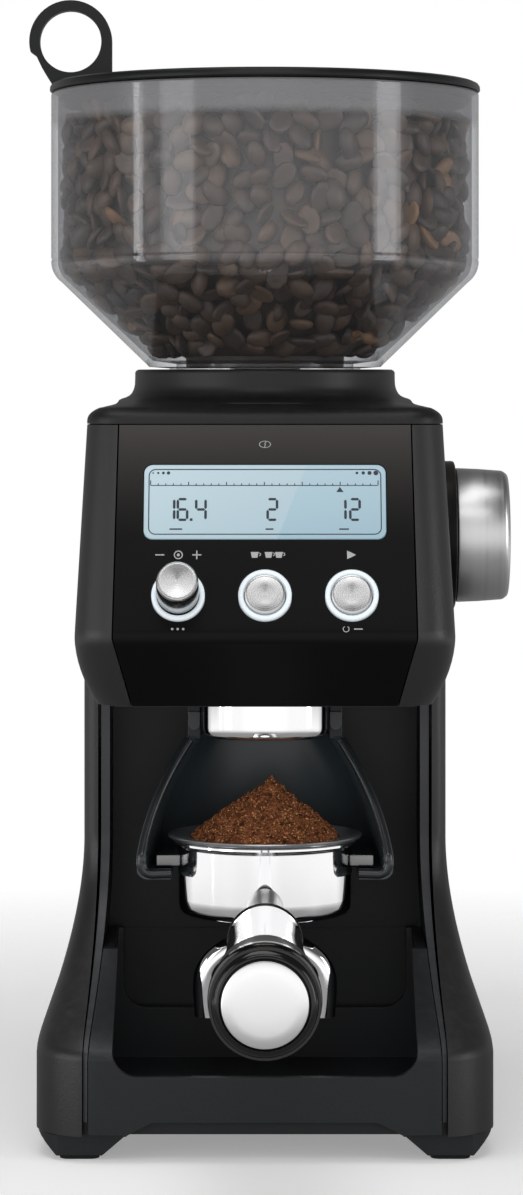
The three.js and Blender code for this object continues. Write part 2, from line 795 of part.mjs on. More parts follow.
function makeDial() {
  const grownCasing = union(columnForm(-gap), headForm(-gap));
  const bezel = dialAxisRod(bezelRadius, 50, bezelFace, { sides: fine })
    .subtract(grownCasing)
    .subtract(dialAxisRod(dialBoreRadius, 0, 100));
  add('dial_bezel', bezel, 'panelBlack');

  const dialStart = bezelFace + gap;
  const dialEnd = dialStart + dialLength;
  const shaftEnd = dialStart + 10;
  const dial = turned([
    [0, shaftEnd + gap],
    [3 + gap, shaftEnd + gap],
    [3 + gap, dialStart],
    [dialRadius, dialStart],
    [dialRadius - 0.6, dialStart + dialLength * 0.5],
    [dialRadius - 1.4, dialEnd - 1],
    [dialRadius - 2.4, dialEnd],
    [dialRadius * 0.5, dialEnd + 0.5],
    [0, dialEnd + 0.6],
  ], fine).rotate([0, 90, 0]).translate([0, 0, dialHeight]);
  add('grind_dial', dial, 'brushed');

  const pinionWidth = 3.6;
  const pinionStart = crownPitchRadius - pinionWidth / 2;
  // Extruding up Z and turning onto X takes the outline's +X to -Z, so a tooth at 180 points up.
  const pinionOutline = gearOutline(crown.pinion, crown.module, 180, crownTooth);
  const pinion = slab(pinionOutline, pinionStart, pinionStart + pinionWidth)
    .rotate([0, 90, 0]).translate([0, 0, dialHeight]);
  add('dial_shaft', union(pinion, dialAxisRod(3, pinionStart - 1, shaftEnd, { sides: coarse })), 'steel');

  const faceWidth = 7;
  const inner = crownPitchRadius - faceWidth / 2;
  const outer = crownPitchRadius + faceWidth / 2;
  const root = crownPlane + crownTooth.dedendum * crown.module;
  const tip = crownPlane - crownTooth.addendum * crown.module;
  let ring = turnedRing([[inner, root], [outer, root], [outer, root + 9], [inner, root + 9]], fine);
  const toothHalf = crownTooth.share * Math.PI * crown.module;
  const rootHalf = toothHalf + crownTooth.dedendum * crown.module * toothSlope;
  const tipHalf = toothHalf - crownTooth.addendum * crown.module * toothSlope;
  const toothOutline = [[-rootHalf, root + gap], [-tipHalf, tip], [tipHalf, tip], [rootHalf, root + gap]];
  // Each tooth lies along a radius, in line with the pinion at +X half a pitch away.
  const tooth = uprightSlab(toothOutline, -outer + 0.6, -inner - 0.6);
  for (let i = 0; i < crown.ring; i += 1) {
    ring = ring.add(tooth.rotate([0, 0, 90 + ((i + 0.5) * 360) / crown.ring]));
  }
  add('adjusting_ring', ring, 'nylon');
}

// ---- Burrs and grinding chamber -----------------------------------------------------------------

const gearboxFloor = headBottom + 3.3;
const stageTwoBottom = gearboxFloor + 3.4;
const stageOneBottom = stageTwoBottom + gearWidth + 3;
const gearboxTop = stageOneBottom + gearWidth + 4;
const housingFloor = gearboxTop + gap;
const chamberFloor = housingFloor + 4;
const burrBottom = chamberFloor + 8;
const portBottom = chamberFloor + 1;
const portTop = portBottom + 12;

// A cone or bore whose flutes are cut as a star, narrowing upwards.
function flutedCone(bottomRadius, topRadius, z0, z1, flutes, depth, twist) {
  const ringAt = (radius, z, turn) => {
    const ring = [];
    for (let i = 0; i < flutes * 2; i += 1) {
      const angle = (i * Math.PI) / flutes + turn;
      const reach = i % 2 ? radius : radius - depth;
      ring.push(new THREE.Vector3(reach * Math.cos(angle), reach * Math.sin(angle), z));
    }
    return ring;
  };
  const levels = steps(0, 1, 3);
  return loft(levels.map((t) =>
    ringAt(THREE.MathUtils.lerp(bottomRadius, topRadius, t), THREE.MathUtils.lerp(z0, z1, t), twist * t)));
}

function makeBurrs() {
  const burrTop = burrBottom + burrHeight;
  const coneTopRadius = burrRadius * 0.45;
  const grindGap = 1.6;
  const boreRadius = shaftRadius + gap;
  const cone = flutedCone(burrRadius - grindGap, coneTopRadius, burrBottom, burrTop, 18, 1.2, 0.5);
  add('lower_burr', cone.subtract(rod(boreRadius, 0, 999, { sides: coarse })), 'steel');

  const boreForm = flutedCone(burrRadius + 0.8, coneTopRadius + 5, burrBottom - 1, burrTop - 3, 20, 1, -0.4);
  const burrOuter = burrRadius + 4;
  const upper = rod(burrOuter, burrBottom, burrTop - 4, { sides: medium }).subtract(boreForm);
  add('upper_burr', upper, 'steel');

  const threadRadius = crownPitchRadius - 3.5 - runningGap;
  const carrierInner = burrOuter + gap;
  const ringRoot = crownPlane + crownTooth.dedendum * crown.module;
  const carrier = turnedRing([
    [carrierInner, burrBottom + 4],
    [housingRadius - 2.4 - runningGap, burrBottom + 4],
    [housingRadius - 2.4 - runningGap, ringRoot + 1],
    [threadRadius, ringRoot + 1],
    [threadRadius, ringRoot + 12],
    [coneTopRadius + 8, ringRoot + 12],
    [coneTopRadius + 6.4, burrTop - 4 + gap],
    [carrierInner, burrTop - 4 + gap],
  ], medium);
  add('upper_burr_carrier', carrier, 'steel');

  const housingTop = crownPlane - 2;
  const bearingRadius = 11;
  let housing = turnedRing([
    [bearingRadius + gap, housingFloor],
    [housingRadius, housingFloor],
    [housingRadius, housingTop],
    [housingRadius - 2.4, housingTop],
    [housingRadius - 2.4, chamberFloor],
    [bearingRadius + gap, chamberFloor],
  ], medium);
  const snoutHalf = 9;
  const snout = box(-snoutHalf, snoutHalf, -housingRadius - 4, -housingRadius + 4, portBottom, portTop)
    .subtract(rod(housingRadius - 1, 0, 999, { sides: medium }));
  const lip = 1.6;
  const portHalf = snoutHalf - lip;
  const port = box(-portHalf, portHalf, -housingRadius - 9, -10, portBottom + lip, portTop - lip);
  housing = housing.add(snout).subtract(port);
  add('burr_housing', housing, 'bayBlack');

  const chute = { half: 12, front: outletY - 11.5, rear: -housingRadius - 3, wall: 2 };
  const tube = box(-chute.half, chute.half, chute.front, chute.rear, headBottom - 12, portTop + 4);
  const flowHalf = chute.half - chute.wall;
  const flow = box(-flowHalf, flowHalf, chute.front + 2, chute.rear - 2, headBottom - 20, portTop + 2);
  const mouthHalf = snoutHalf + gap;
  const mouth = box(-mouthHalf, mouthHalf, chute.rear - 3, chute.rear + 5, portBottom - gap, portTop + gap);
  add('grind_chute', tube.subtract(flow).subtract(mouth), 'cradleBlack');

  const shroudTop = headBottom - 0.8;
  const shroudForm = { topRadius: shroudRadius, sides: fine };
  const shroud = rod(shroudRadius - 1, shroudTop - shroudHeight, shroudTop, shroudForm)
    .subtract(rod(shroudRadius - 2.4, 0, 999, { sides: fine }))
    .subtract(box(-99, 99, 7, 99, 0, 999))
    .translate([0, outletY, 0]);
  add('outlet_shroud', shroud, 'chrome');
}

// ---- Motor and gear train -----------------------------------------------------------------------

function makeDrive() {
  const canTop = headBottom - 3;
  const canBottom = canTop - motorHeight;
  const motorShaft = 3;
  const can = rod(motorRadius, canBottom, canTop, { y: motorY, sides: medium })
    .subtract(rod(motorRadius - 2.5, canBottom - 1, canTop - 3, { y: motorY, sides: medium }))
    .subtract(rod(motorShaft + runningGap, 0, 999, { y: motorY, sides: coarse }));
  add('motor_can', can, 'steel');

  const stageOneTop = stageOneBottom + gearWidth;
  const pinion = slab(gearOutline(stageOne.driver, stageOne.module, -90), stageOneBottom, stageOneTop);
  const rotor = union(
    pinion,
    rod(motorShaft, canBottom + 2, stageOneTop, { sides: coarse }),
    rod(motorRadius - 8, canBottom + 8, canTop - 10, { sides: coarse }),
  );
  add('motor_rotor', rotor.translate([0, motorY, 0]), 'steel');

  const pinRadius = 3;
  const halfPitch = (teeth) => 90 + 180 / teeth;
  const idlerWheel = gearOutline(stageOne.driven, stageOne.module, halfPitch(stageOne.driven));
  const idlerPinion = gearOutline(stageTwo.driver, stageTwo.module, -90);
  const idler = union(
    slab(idlerWheel, stageOneBottom, stageOneTop),
    slab(idlerPinion, stageTwoBottom, stageOneBottom + 0.5),
  ).subtract(rod(pinRadius + gap, 0, 999, { sides: coarse }));
  add('idler_gear', idler.translate([0, idlerY, 0]), 'nylon');
  add('idler_pin', rod(pinRadius, gearboxFloor + 3, gearboxTop, { y: idlerY, sides: coarse }), 'steel');

  const driveOutline = gearOutline(stageTwo.driven, stageTwo.module, halfPitch(stageTwo.driven));
  const drive = slab(driveOutline, stageTwoBottom, stageTwoBottom + gearWidth)
    .subtract(rod(shaftRadius + gap, 0, 999, { sides: coarse }));
  add('drive_gear', drive, 'nylon');

  const shaftTop = burrBottom + burrHeight + 3;
  const shaft = union(
    rod(shaftRadius, gearboxFloor + 0.6, shaftTop, { sides: coarse }),
    rod(burrRadius - 2, burrBottom - 3.5, burrBottom - gap, { sides: medium }),
  );
  add('drive_shaft', shaft, 'steel');

  const bearingBore = shaftRadius + gap;
  const bearing = (z0, z1) => turnedRing([[bearingBore, z0], [11, z0], [11, z1], [bearingBore, z1]], medium);
  add('upper_bearing', bearing(housingFloor + 0.2, chamberFloor - 0.2), 'steel');
  add('lower_bearing', bearing(gearboxFloor + 0.2, gearboxFloor + 2.8), 'steel');

  const outlineAt = (grow, z0, z1) => {
    const drum = rod(housingRadius + grow, z0, z1, { sides: medium });
    const tail = rod(20 + grow, z0, z1, { y: motorY, sides: coarse });
    const middle = slab([[-housingRadius - grow, 0], [-20 - grow, motorY], [20 + grow, motorY],
      [housingRadius + grow, 0]], z0, z1);
    return union(drum, middle, tail);
  };
  const gearbox = outlineAt(0, gearboxFloor, gearboxTop)
    .subtract(outlineAt(-2.2, gearboxFloor + 3, gearboxTop + 1))
    .subtract(rod(11 + gap, 0, 999, { sides: medium }))
    .subtract(rod(motorShaft + runningGap, 0, 999, { y: motorY, sides: coarse }));
  add('gearbox_tray', gearbox, 'bayBlack');
}

// ---- Outlet, cradle and start switch ------------------------------------------------------------

const cradleBack = -6;
const cradleHalfWidth = 43;
const cradleTopHalf = 26.6;
const cradleTop = headBottom - 14;
const cradleHinge = -32; // where the arms turn into the back
const shelfTop = rimTop - rimHeight - lugHeight - gap;
const shelfBottom = shelfTop - 3;

// Half-width of the cradle: widest beside the lugs, narrowing in a curve towards the outlet.
function cradleHalfAt(z) {
  const start = rimTop - rimHeight;
  const up = THREE.MathUtils.clamp((z - start) / (cradleTop - start), 0, 1);
  return THREE.MathUtils.lerp(cradleHalfWidth, cradleTopHalf, 0.35 * up + 0.65 * up * up);
}

function cradleFrontAt(z) {
  const start = rimTop - rimHeight;
  const up = THREE.MathUtils.clamp((z - start) / (cradleTop - start), 0, 1);
  return THREE.MathUtils.lerp(outletY - 14, cradleHinge - 2, up);
}

// A plan of the cradle, open to the front by reach: straight arms, then a squared-off curve behind.
function cradleRing(z, height, inset, reach) {
  const half = cradleHalfAt(z) - inset;
  const rearHalf = cradleHalfAt(z) * 0.93 - inset;
  const front = cradleFrontAt(z);
  const depth = cradleBack - inset - cradleHinge;
  const squared = (value) => Math.sign(value) * Math.abs(value) ** 0.6;
  const ring = [new THREE.Vector3(half, front - reach, height), new THREE.Vector3(half, front, height)];
  for (const angle of steps(0, Math.PI, 14)) {
    const x = rearHalf * squared(Math.cos(angle));
    ring.push(new THREE.Vector3(x, cradleHinge + depth * squared(Math.sin(angle)), height));
  }
  ring.push(new THREE.Vector3(-half, front, height), new THREE.Vector3(-half, front - reach, height));
  return ring;
}

function makeCradle() {
  const levels = steps(shelfTop, cradleTop, 7);
  const outside = loft([
    cradleRing(shelfBottom, shelfBottom, 3, 0.01),
    cradleRing(shelfBottom, shelfBottom + 0.9, 1.2, 0.01),
    ...levels.map((z) => cradleRing(z, z, 0, 0.01)),
  ]);
  const inside = loft([
    ...levels.map((z) => cradleRing(z, z, armWall, 30)),
    cradleRing(cradleTop, cradleTop + 1, armWall, 30),
  ]);
  const hookInner = bowlRadius + 2;
  const well = box(-hookInner, hookInner, farFront, outletY + rimRadius + runningGap, 0, shelfTop + 1);
  const postInner = shroudRadius + 1;
  const postOuter = postInner + 4.5;
  const postTop = headBottom - 0.8;
  const post = box(-postOuter, -postInner, cradleHinge - 2, cradleHinge + 14, cradleTop - 1.5, postTop);
  const boreRadius = plungerRadius + 2;
  const bore = rearAxisRod(boreRadius, cradleBack - 20, cradleBack + 5, plungerHeight, { sides: coarse });
  const shell = outside.subtract(inside).subtract(well);
  add('cradle', union(shell, post, mirrored(post)).subtract(bore), 'cradleBlack');

  const tip = outletY + rimRadius + runningGap;
  const linerRear = bayBack + linerWall;
  const plunger = union(
    rearAxisRod(plungerRadius, tip, linerRear + 6, plungerHeight, { sides: coarse }),
    rearAxisRod(plungerRadius + 2, linerRear + 3.6, linerRear + 6, plungerHeight, { sides: coarse }),
  );
  add('start_plunger', plunger, 'trimGrey');
  const switchFront = linerRear + 10;
  const body = box(-10, 10, switchFront, switchFront + 7, plungerHeight - 6, plungerHeight + 6);
  add('start_microswitch', body, 'bayBlack');
}

// ---- Filter holder ------------------------------------------------------------------------------

const bowlBottom = rimTop - bowlHeight;
const handleStart = outletY - bowlRadius;
const neckLength = 18;
const axisHeight = bowlBottom - 2;
const handleTilt = Math.atan2(handleDrop, handleStart - handleEnd);

// A body of revolution about the handle's axis; heights run from the bowl outwards.
function onHandle(piece) {
  return piece
    .rotate([90 + THREE.MathUtils.radToDeg(handleTilt), 0, 0])
    .translate([0, handleStart, axisHeight]);
}

function makeFilterHolder() {
  const basketRadius = bowlRadius - bowlWall - gap;
  const cup = turned([
    [0, bowlBottom],
    [bowlRadius - 5, bowlBottom],
    [bowlRadius - 1.5, bowlBottom + 1.5],
    [bowlRadius, bowlBottom + 5],
    [bowlRadius, rimTop - rimHeight - 1],
    [rimRadius, rimTop - rimHeight],
    [rimRadius, rimTop - 0.8],
    [rimRadius - 0.8, rimTop],
    [bowlRadius - bowlWall, rimTop],
    [bowlRadius - bowlWall, bowlBottom + 4],
    [0, bowlBottom + 3],
  ], fine).translate([0, outletY, 0]);
  const lug = box(-rimRadius - lugReach, -bowlRadius + 2, outletY - lugHalfLength, outletY + lugHalfLength,
    rimTop - rimHeight - lugHeight, rimTop - rimHeight);
  const neck = onHandle(turned([
    [0, -2],
    [8.5, -2],
    [7.2, 6],
    [8, neckLength - 4],
    [10.5, neckLength],
    [0, neckLength],
  ], medium));
  // A tapering rib carries the neck, which is lower than the bowl, from the bowl's side.
  const ribRing = (y, z, radius) => steps(0, Math.PI * 1.9, 19).map((angle) =>
    new THREE.Vector3(radius * Math.cos(angle), y, z + radius * Math.sin(angle)));
  const rib = loft([
    ribRing(outletY - bowlRadius + 4, bowlBottom + 8, 5),
    ribRing(handleStart - 4, bowlBottom + 4, 6),
    ribRing(handleStart - neckLength + 3, axisHeight, 8),
  ]);
  const drain = rod(4, bowlBottom - 1, bowlBottom + 10, { y: outletY, sides: coarse });
  const head = union(cup, lug, mirrored(lug), neck, rib)
    .subtract(rod(bowlRadius - bowlWall, bowlBottom + 4, rimTop + 9, { y: outletY, sides: fine }))
    .subtract(drain);
  add('portafilter_head', head, 'chrome');

  const lip = bowlRadius + 0.6;
  const basket = turnedRing([
    [basketRadius, bowlBottom + 6],
    [basketRadius, rimTop + gap],
    [lip, rimTop + gap],
    [lip, rimTop + gap + 1],
    [basketRadius - 1, rimTop + gap + 1],
    [basketRadius - 1, bowlBottom + 7],
    [3, bowlBottom + 7],
    [3, bowlBottom + 6],
  ], medium).translate([0, outletY, 0]);
  add('filter_basket', basket, 'steel');

  const heapRadius = basketRadius - 1.4;
  const heapTop = rimTop + 20.5;
  const heap = turned([
    [0, bowlBottom + 7.4],
    [heapRadius - 1, bowlBottom + 7.4],
    [heapRadius, bowlBottom + 9],
    [heapRadius, rimTop + 0.6],
    [heapRadius * 0.8, rimTop + 4.4],
    [heapRadius * 0.5, rimTop + 11],
    [heapRadius * 0.22, heapTop - 2.2],
    [0, heapTop],
  ], medium).translate([0, outletY, 0]);
  add('ground_coffee', heap, 'grounds');

  const length = Math.hypot(handleStart - handleEnd, handleDrop);
  const start = neckLength + gap;
  const bulge = length - 14;
  const grip = onHandle(turned([
    [0, start],
    [10.5, start],
    [12, start + 6],
    [11.6, start + 26],
    [13.2, THREE.MathUtils.lerp(start, bulge, 0.55)],
    [15.8, THREE.MathUtils.lerp(start, bulge, 0.82)],
    [handleRadius, bulge],
    [handleRadius - 0.5, bulge + 6],
    [capRadius + 1.2, length - 1.2],
    [capRadius + gap, length - 0.8],
    [capRadius + gap, length - 2.4],
    [0, length - 2.4],
  ], medium));
  add('handle_grip', grip, 'grip');
  const cap = onHandle(turned([[0, length - 2.1], [capRadius, length - 2.1], [capRadius, length - 0.7],
    [capRadius - 0.7, length], [0, length + 0.2]], medium));
  add('handle_end_cap', cap, 'brushed');

  const hub = bowlBottom - gap;
  const tipHeight = bowlBottom - spoutHeight;
  const spoutHalf = spoutPitch / 2;
  const tubeOutline = new THREE.Shape();
  tubeOutline.absarc(0, 0, spoutRadius, 0, Math.PI * 2);
  const route = new THREE.CatmullRomCurve3([
    new THREE.Vector3(-2, outletY, hub - 10),
    new THREE.Vector3(-spoutHalf * 0.6, outletY, hub - 12),
    new THREE.Vector3(-spoutHalf, outletY, hub - 20),
    new THREE.Vector3(-spoutHalf, outletY, tipHeight),
  ]);
  const sweep = { steps: 8, extrudePath: route, curveSegments: 5 };
  const arm = solid(new THREE.ExtrudeGeometry(tubeOutline, sweep));
  const spout = union(
    rod(8, hub - 13, hub, { y: outletY, topRadius: 10, sides: coarse }),
    arm,
    mirrored(arm),
  ).subtract(box(-99, 99, -200, 99, 0, tipHeight));
  add('double_spout', spout, 'chrome');
}

// ---- Power board and cord gland -----------------------------------------------------------------

function makeMains() {
  const boardBottom = plateTop + 6;
  const board = union(
    box(-38, 38, bayBack + 12, sideSeam + 14, boardBottom, boardBottom + 1.6),
    box(-30, -8, bayBack + 20, bayBack + 44, boardBottom + 1, boardBottom + 22),
    box(6, 24, bayBack + 22, bayBack + 36, boardBottom + 1, boardBottom + 16),
    box(-20, 12, sideSeam - 10, sideSeam + 4, boardBottom + 1, boardBottom + 12),
    ...[-34, 34].map((x) => box(x - 3, x + 3, bayBack + 20, bayBack + 26, plateTop + gap, boardBottom + 1)),
  );
  add('power_board', board, 'board');
  const outside = columnPlan(glandHeight - 11, 0).rear;
  const gland = union(
    rearAxisRod(9 - gap, outside - wall - 7, outside + 1, glandHeight, { sides: coarse }),
    rearAxisRod(11, outside + gap, outside + 3, glandHeight, { topRadius: 9.4, sides: coarse }),
    rearAxisRod(11, outside - wall - 7, outside - wall - 4, glandHeight, { sides: coarse }),
  ).subtract(rearAxisRod(3.4, 0, 999, glandHeight, { sides: coarse }));
  add('cord_gland', gland, 'rubber');
}

makeCasing();
makeTopCover();
makeBayLiner();
makeTray();
makeBase();
makeHopper();
makePanelFittings();
makeDial();
makeBurrs();
makeDrive();
makeCradle();
makeFilterHolder();
makeMains();

// The part's origin is under the middle of its outline, on the surface that it stands on.
const group = new THREE.Group();
grinder.position.y = -(handleEnd + baseRear) / 2;
group.add(grinder);

export default group;
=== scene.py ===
import math
import random

import bmesh
import bpy
from mathutils import Matrix, Vector, noise


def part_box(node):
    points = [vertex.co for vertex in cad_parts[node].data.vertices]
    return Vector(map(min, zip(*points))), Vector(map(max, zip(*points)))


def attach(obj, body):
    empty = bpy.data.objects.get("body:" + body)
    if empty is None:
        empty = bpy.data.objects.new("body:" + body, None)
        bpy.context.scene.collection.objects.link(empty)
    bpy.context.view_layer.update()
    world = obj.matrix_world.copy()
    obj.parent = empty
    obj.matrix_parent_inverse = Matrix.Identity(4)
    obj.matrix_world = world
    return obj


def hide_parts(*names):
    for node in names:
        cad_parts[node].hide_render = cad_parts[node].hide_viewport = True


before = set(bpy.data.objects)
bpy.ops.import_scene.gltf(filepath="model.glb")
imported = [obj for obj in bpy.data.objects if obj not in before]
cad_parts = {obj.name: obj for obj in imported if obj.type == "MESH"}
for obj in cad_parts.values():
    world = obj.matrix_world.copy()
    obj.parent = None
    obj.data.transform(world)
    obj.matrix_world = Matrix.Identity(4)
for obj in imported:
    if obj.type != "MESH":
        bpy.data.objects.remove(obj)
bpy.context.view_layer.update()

# Every piece is made in millimetres from the burr axis, which is the hopper's own axis.
mm = 0.001
hopperLow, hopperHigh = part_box("hopper")
axisY = (hopperLow.y + hopperHigh.y) / 2
toRow = Matrix.Translation((0, axisY, 0))


# ---- camera and light

camera = {"distance": 1319, "height": 253.5, "lens": 113.09, "shiftX": -0.0029, "shiftY": -0.1812}


def makeCamera():
    data = bpy.data.cameras.new("camera")
    data.sensor_fit = "VERTICAL"
    data.sensor_height = 36
    data.lens = camera["lens"]
    data.shift_x = camera["shiftX"]
    data.shift_y = camera["shiftY"]
    data.clip_end = 50
    obj = bpy.data.objects.new("camera", data)
    obj.location = (0, axisY - camera["distance"] * mm, camera["height"] * mm)
    obj.rotation_euler = (math.radians(90), 0, 0)
    bpy.context.scene.collection.objects.link(obj)
    bpy.context.scene.camera = obj


makeCamera()
print("camera made")

studio = {
    "base": 0.1, "band": 1.1, "backdrop": 1.0,
    "lamps": [  # name, place, aim, size x, size y, radiance
        ("strip_left", (-1.22, -0.44, 0.36), (0, 0, 0.31), 0.075, 0.9, 6.0),
        ("soft_left", (-1.0, -0.95, 0.45), (0, 0, 0.2), 0.45, 1.1, 1.7),
        ("soft_right", (1.2, -0.5, 0.42), (0, 0, 0.28), 0.34, 0.9, 3.0),
        ("top", (-0.1, -0.15, 1.35), (0, 0, 0.15), 1.0, 0.8, 2.2),
        ("high_front", (0.0, -0.85, 0.95), (0, -0.08, 0.15), 0.8, 0.24, 2.6),
    ],
}


def makeWorld():  # a soft bright band at eye level in front and beside, dimmer straight ahead and behind
    world = bpy.data.worlds.new("studio")
    bpy.context.scene.world = world
    world.use_nodes = True
    world.node_tree.nodes.clear()
    g = Graph(world.node_tree)
    part = g.add("SeparateXYZ", {"Vector": g.add("TexCoord").outputs["Generated"]})
    x, y, z = part.outputs
    level = g.math("SQRT", g.math("ADD", g.math("MULTIPLY", x, x), g.math("MULTIPLY", y, y)))
    ahead = g.math("DIVIDE", g.math("MULTIPLY", y, -1.0), g.math("MAXIMUM", level, 0.001))
    band = g.math("MULTIPLY", g.ramp(z, 0.26, 0.56, 1.0, 0.0), g.ramp(z, -0.5, -0.14, 0.3, 1.0))
    aroundLow, aroundHigh = g.ramp(ahead, -0.8, -0.35, 0.3, 1.0), g.ramp(ahead, 0.05, 0.3, 0.25, 1.0)
    around = g.mixFloat(g.ramp(z, -0.12, -0.04), aroundLow, aroundHigh)
    centre = g.ramp(ahead, 0.93, 0.992, 0.92, 1.0)
    glow = g.math("MULTIPLY", g.math("MULTIPLY", band, around), centre)
    strength = g.math("ADD", g.math("MULTIPLY", glow, studio["band"]), studio["base"])
    out = g.add("OutputWorld")
    mix = g.add("MixShader")
    g.set(mix, 0, g.add("LightPath").outputs["Is Camera Ray"])
    g.set(mix, 1, g.add("Background", {"Color": (1, 1, 1, 1), "Strength": strength}))
    g.set(mix, 2, g.add("Background", {"Color": (1, 1, 1, 1), "Strength": studio["backdrop"]}))
    g.set(out, "Surface", mix)


def makeStudio():
    for name, place, aim, width, height, radiance in studio["lamps"]:
        lamp = bpy.data.lights.new(name, "AREA")
        lamp.shape = "RECTANGLE"
        lamp.size, lamp.size_y = width, height
        lamp.energy = radiance * math.pi * width * height
        obj = bpy.data.objects.new(name, lamp)
        obj.location = Vector(place) + Vector((0, axisY, 0))
        direction = Vector(aim) + Vector((0, axisY, 0)) - obj.location
        obj.rotation_euler = direction.to_track_quat("-Z", "Y").to_euler()
        bpy.context.scene.collection.objects.link(obj)
    bpy.context.scene.view_settings.view_transform = "Standard"

# ---- shapes: points in millimetres from the burr axis


def lerp(a, b, t):
    return a + (b - a) * t


def clamp(value, low=0.0, high=1.0):
    return max(low, min(high, value))


def spread(start, end, count):
    return [lerp(start, end, i / count) for i in range(count + 1)]


def curveThrough(points, perSpan=4):  # a smooth curve through tuples of any length
    result = []
    last = len(points) - 1
    for i in range(last):
        before, a, b, after = points[max(i - 1, 0)], points[i], points[i + 1], points[min(i + 2, last)]
        for k in range(perSpan):
            t = k / perSpan
            result.append(tuple(
                0.5 * (2 * q + (r - p) * t + (2 * p - 5 * q + 4 * r - s) * t * t + (3 * q - p - 3 * r + s) * t ** 3)
                for p, q, r, s in zip(before, a, b, after)))
    result.append(tuple(points[last]))
    return result


def lathe(profile, sides=96):  # [radius, height] about Z, closed on itself or on the axis
    closed = profile[0] == profile[-1]
    rows = profile[:-1] if closed else profile
    points, index = [], []
    for radius, height in rows:
        if radius < 1e-6:
            index.append([len(points)] * sides)
            points.append(Vector((0, 0, height)))
            continue
        index.append(list(range(len(points), len(points) + sides)))
        turns = [math.tau * i / sides for i in range(sides)]
        points += [Vector((radius * math.cos(turn), radius * math.sin(turn), height)) for turn in turns]
    faces = []
    for k in range(len(rows) - (0 if closed else 1)):
        low, high = index[k], index[(k + 1) % len(rows)]
        for i in range(sides):
            j = (i + 1) % sides
            corners = [low[i], low[j], high[j], high[i]]
            face = [c for n, c in enumerate(corners) if c not in corners[:n]]
            if len(face) > 2:
                faces.append(face)
    return points, faces


def loft(rings, capped=True):
    count = len(rings[0])
    points = [Vector(p) for ring in rings for p in ring]
    faces = []
    for base in range(0, (len(rings) - 1) * count, count):
        for i in range(count):
            j = (i + 1) % count
            faces.append([base + i, base + j, base + count + j, base + count + i])
    if capped:
        faces.append(list(range(count))[::-1])
        faces.append([len(points) - count + i for i in range(count)])
    return points, faces


def block(x0, x1, y0, y1, z0, z1):
    return loft([[(x0, y0, z), (x1, y0, z), (x1, y1, z), (x0, y1, z)] for z in (z0, z1)])


def roundedRect(width, height, radius, arcSteps=8):
    x, y = width / 2 - radius, height / 2 - radius
    outline = []
    for cx, cy, start in ((x, -y, -90), (x, y, 0), (-x, y, 90), (-x, -y, 180)):
        for i in range(arcSteps + 1):
            angle = math.radians(start + 90 * i / arcSteps)
            outline.append((cx + radius * math.cos(angle), cy + radius * math.sin(angle)))
    return outline


def slab(outline, z0, z1, edge=0.0):  # a flat outline extruded up Z, its top edge rounded by edge
    rings = [(0, z0)]
    if edge:
        rings += [(edge * (1 - math.cos(a)), z1 - edge + edge * math.sin(a)) for a in spread(0, math.pi / 2, 4)]
    else:
        rings.append((0, z1))
    middle = sum((Vector(p) for p in outline), Vector((0, 0))) / len(outline)
    size = max((Vector(p) - middle).length for p in outline)
    return loft([[(*(middle + (Vector(p) - middle) * (1 - inset / size)), z) for p in outline]
                 for inset, z in rings])


def moved(shape, matrix):
    points, faces = shape
    return [matrix @ p for p in points], faces


def upright(shape):  # from XY plane to XZ plane, its +Z turned to -Y
    return moved(shape, Matrix.Rotation(math.radians(90), 4, "X"))


def onX(shape):  # from the Z axis to the X axis
    return moved(shape, Matrix.Rotation(math.radians(90), 4, "Y"))


def at(shape, x=0.0, y=0.0, z=0.0):
    return moved(shape, Matrix.Translation((x, y, z)))


def merged(*shapes):
    points, faces = [], []
    for shapePoints, shapeFaces in shapes:
        start = len(points)
        points += shapePoints
        faces += [[start + i for i in face] for face in shapeFaces]
    return points, faces


def flipped(shape):  # mirrored in x = 0
    points, faces = shape
    return [Vector((-p.x, p.y, p.z)) for p in points], [face[::-1] for face in faces]


def tube(path, radius, sides=20, closed=False):  # a round section along a path
    points = [Vector(p) for p in path]
    count = len(points)
    rings = []
    across = None
    for i, point in enumerate(points):
        ahead = points[(i + 1) % count] if closed or i < count - 1 else point
        behind = points[i - 1] if closed or i > 0 else point
        along = (ahead - behind).normalized()
        if across is None:
            across = along.orthogonal().normalized()
        across = (across - along * across.dot(along)).normalized()
        side = along.cross(across)
        size = radius[i] if isinstance(radius, (list, tuple)) else radius
        rings.append([point + size * (across * math.cos(a) + side * math.sin(a))
                      for a in (math.tau * k / sides for k in range(sides))])
    if closed:
        shape = loft(rings + [rings[0]], False)
        return shape
    return loft(rings)


# ---- pieces


def solid(name, shape):
    points, faces = shape
    mesh = bpy.data.meshes.new(name)
    mesh.from_pydata([toRow @ (p * mm) for p in points], [], faces)
    mesh.validate()
    obj = bpy.data.objects.new(name, mesh)
    bpy.context.scene.collection.objects.link(obj)
    tidyMesh(mesh)
    return obj


def tidyMesh(mesh):  # merged vertices and normals that point out
    work = bmesh.new()
    work.from_mesh(mesh)
    bmesh.ops.remove_doubles(work, verts=work.verts, dist=1e-6)
    bmesh.ops.recalc_face_normals(work, faces=work.faces)
    work.to_mesh(mesh)
    work.free()


def bakeModifiers(obj):
    graph = bpy.context.evaluated_depsgraph_get()
    mesh = bpy.data.meshes.new_from_object(obj.evaluated_get(graph))
    obj.modifiers.clear()
    obj.data = mesh


def combine(obj, shapes, operation="DIFFERENCE"):
    cutters = []
    for shape in shapes:
        cutter = solid("cutter", shape)
        cutters.append(cutter)
        change = obj.modifiers.new("cut", "BOOLEAN")
        change.operation = operation
        change.solver = "MANIFOLD"
        change.object = cutter
    bakeModifiers(obj)
    for cutter in cutters:
        bpy.data.objects.remove(cutter)
    return obj


def cut(obj, *shapes):
    return combine(obj, shapes)


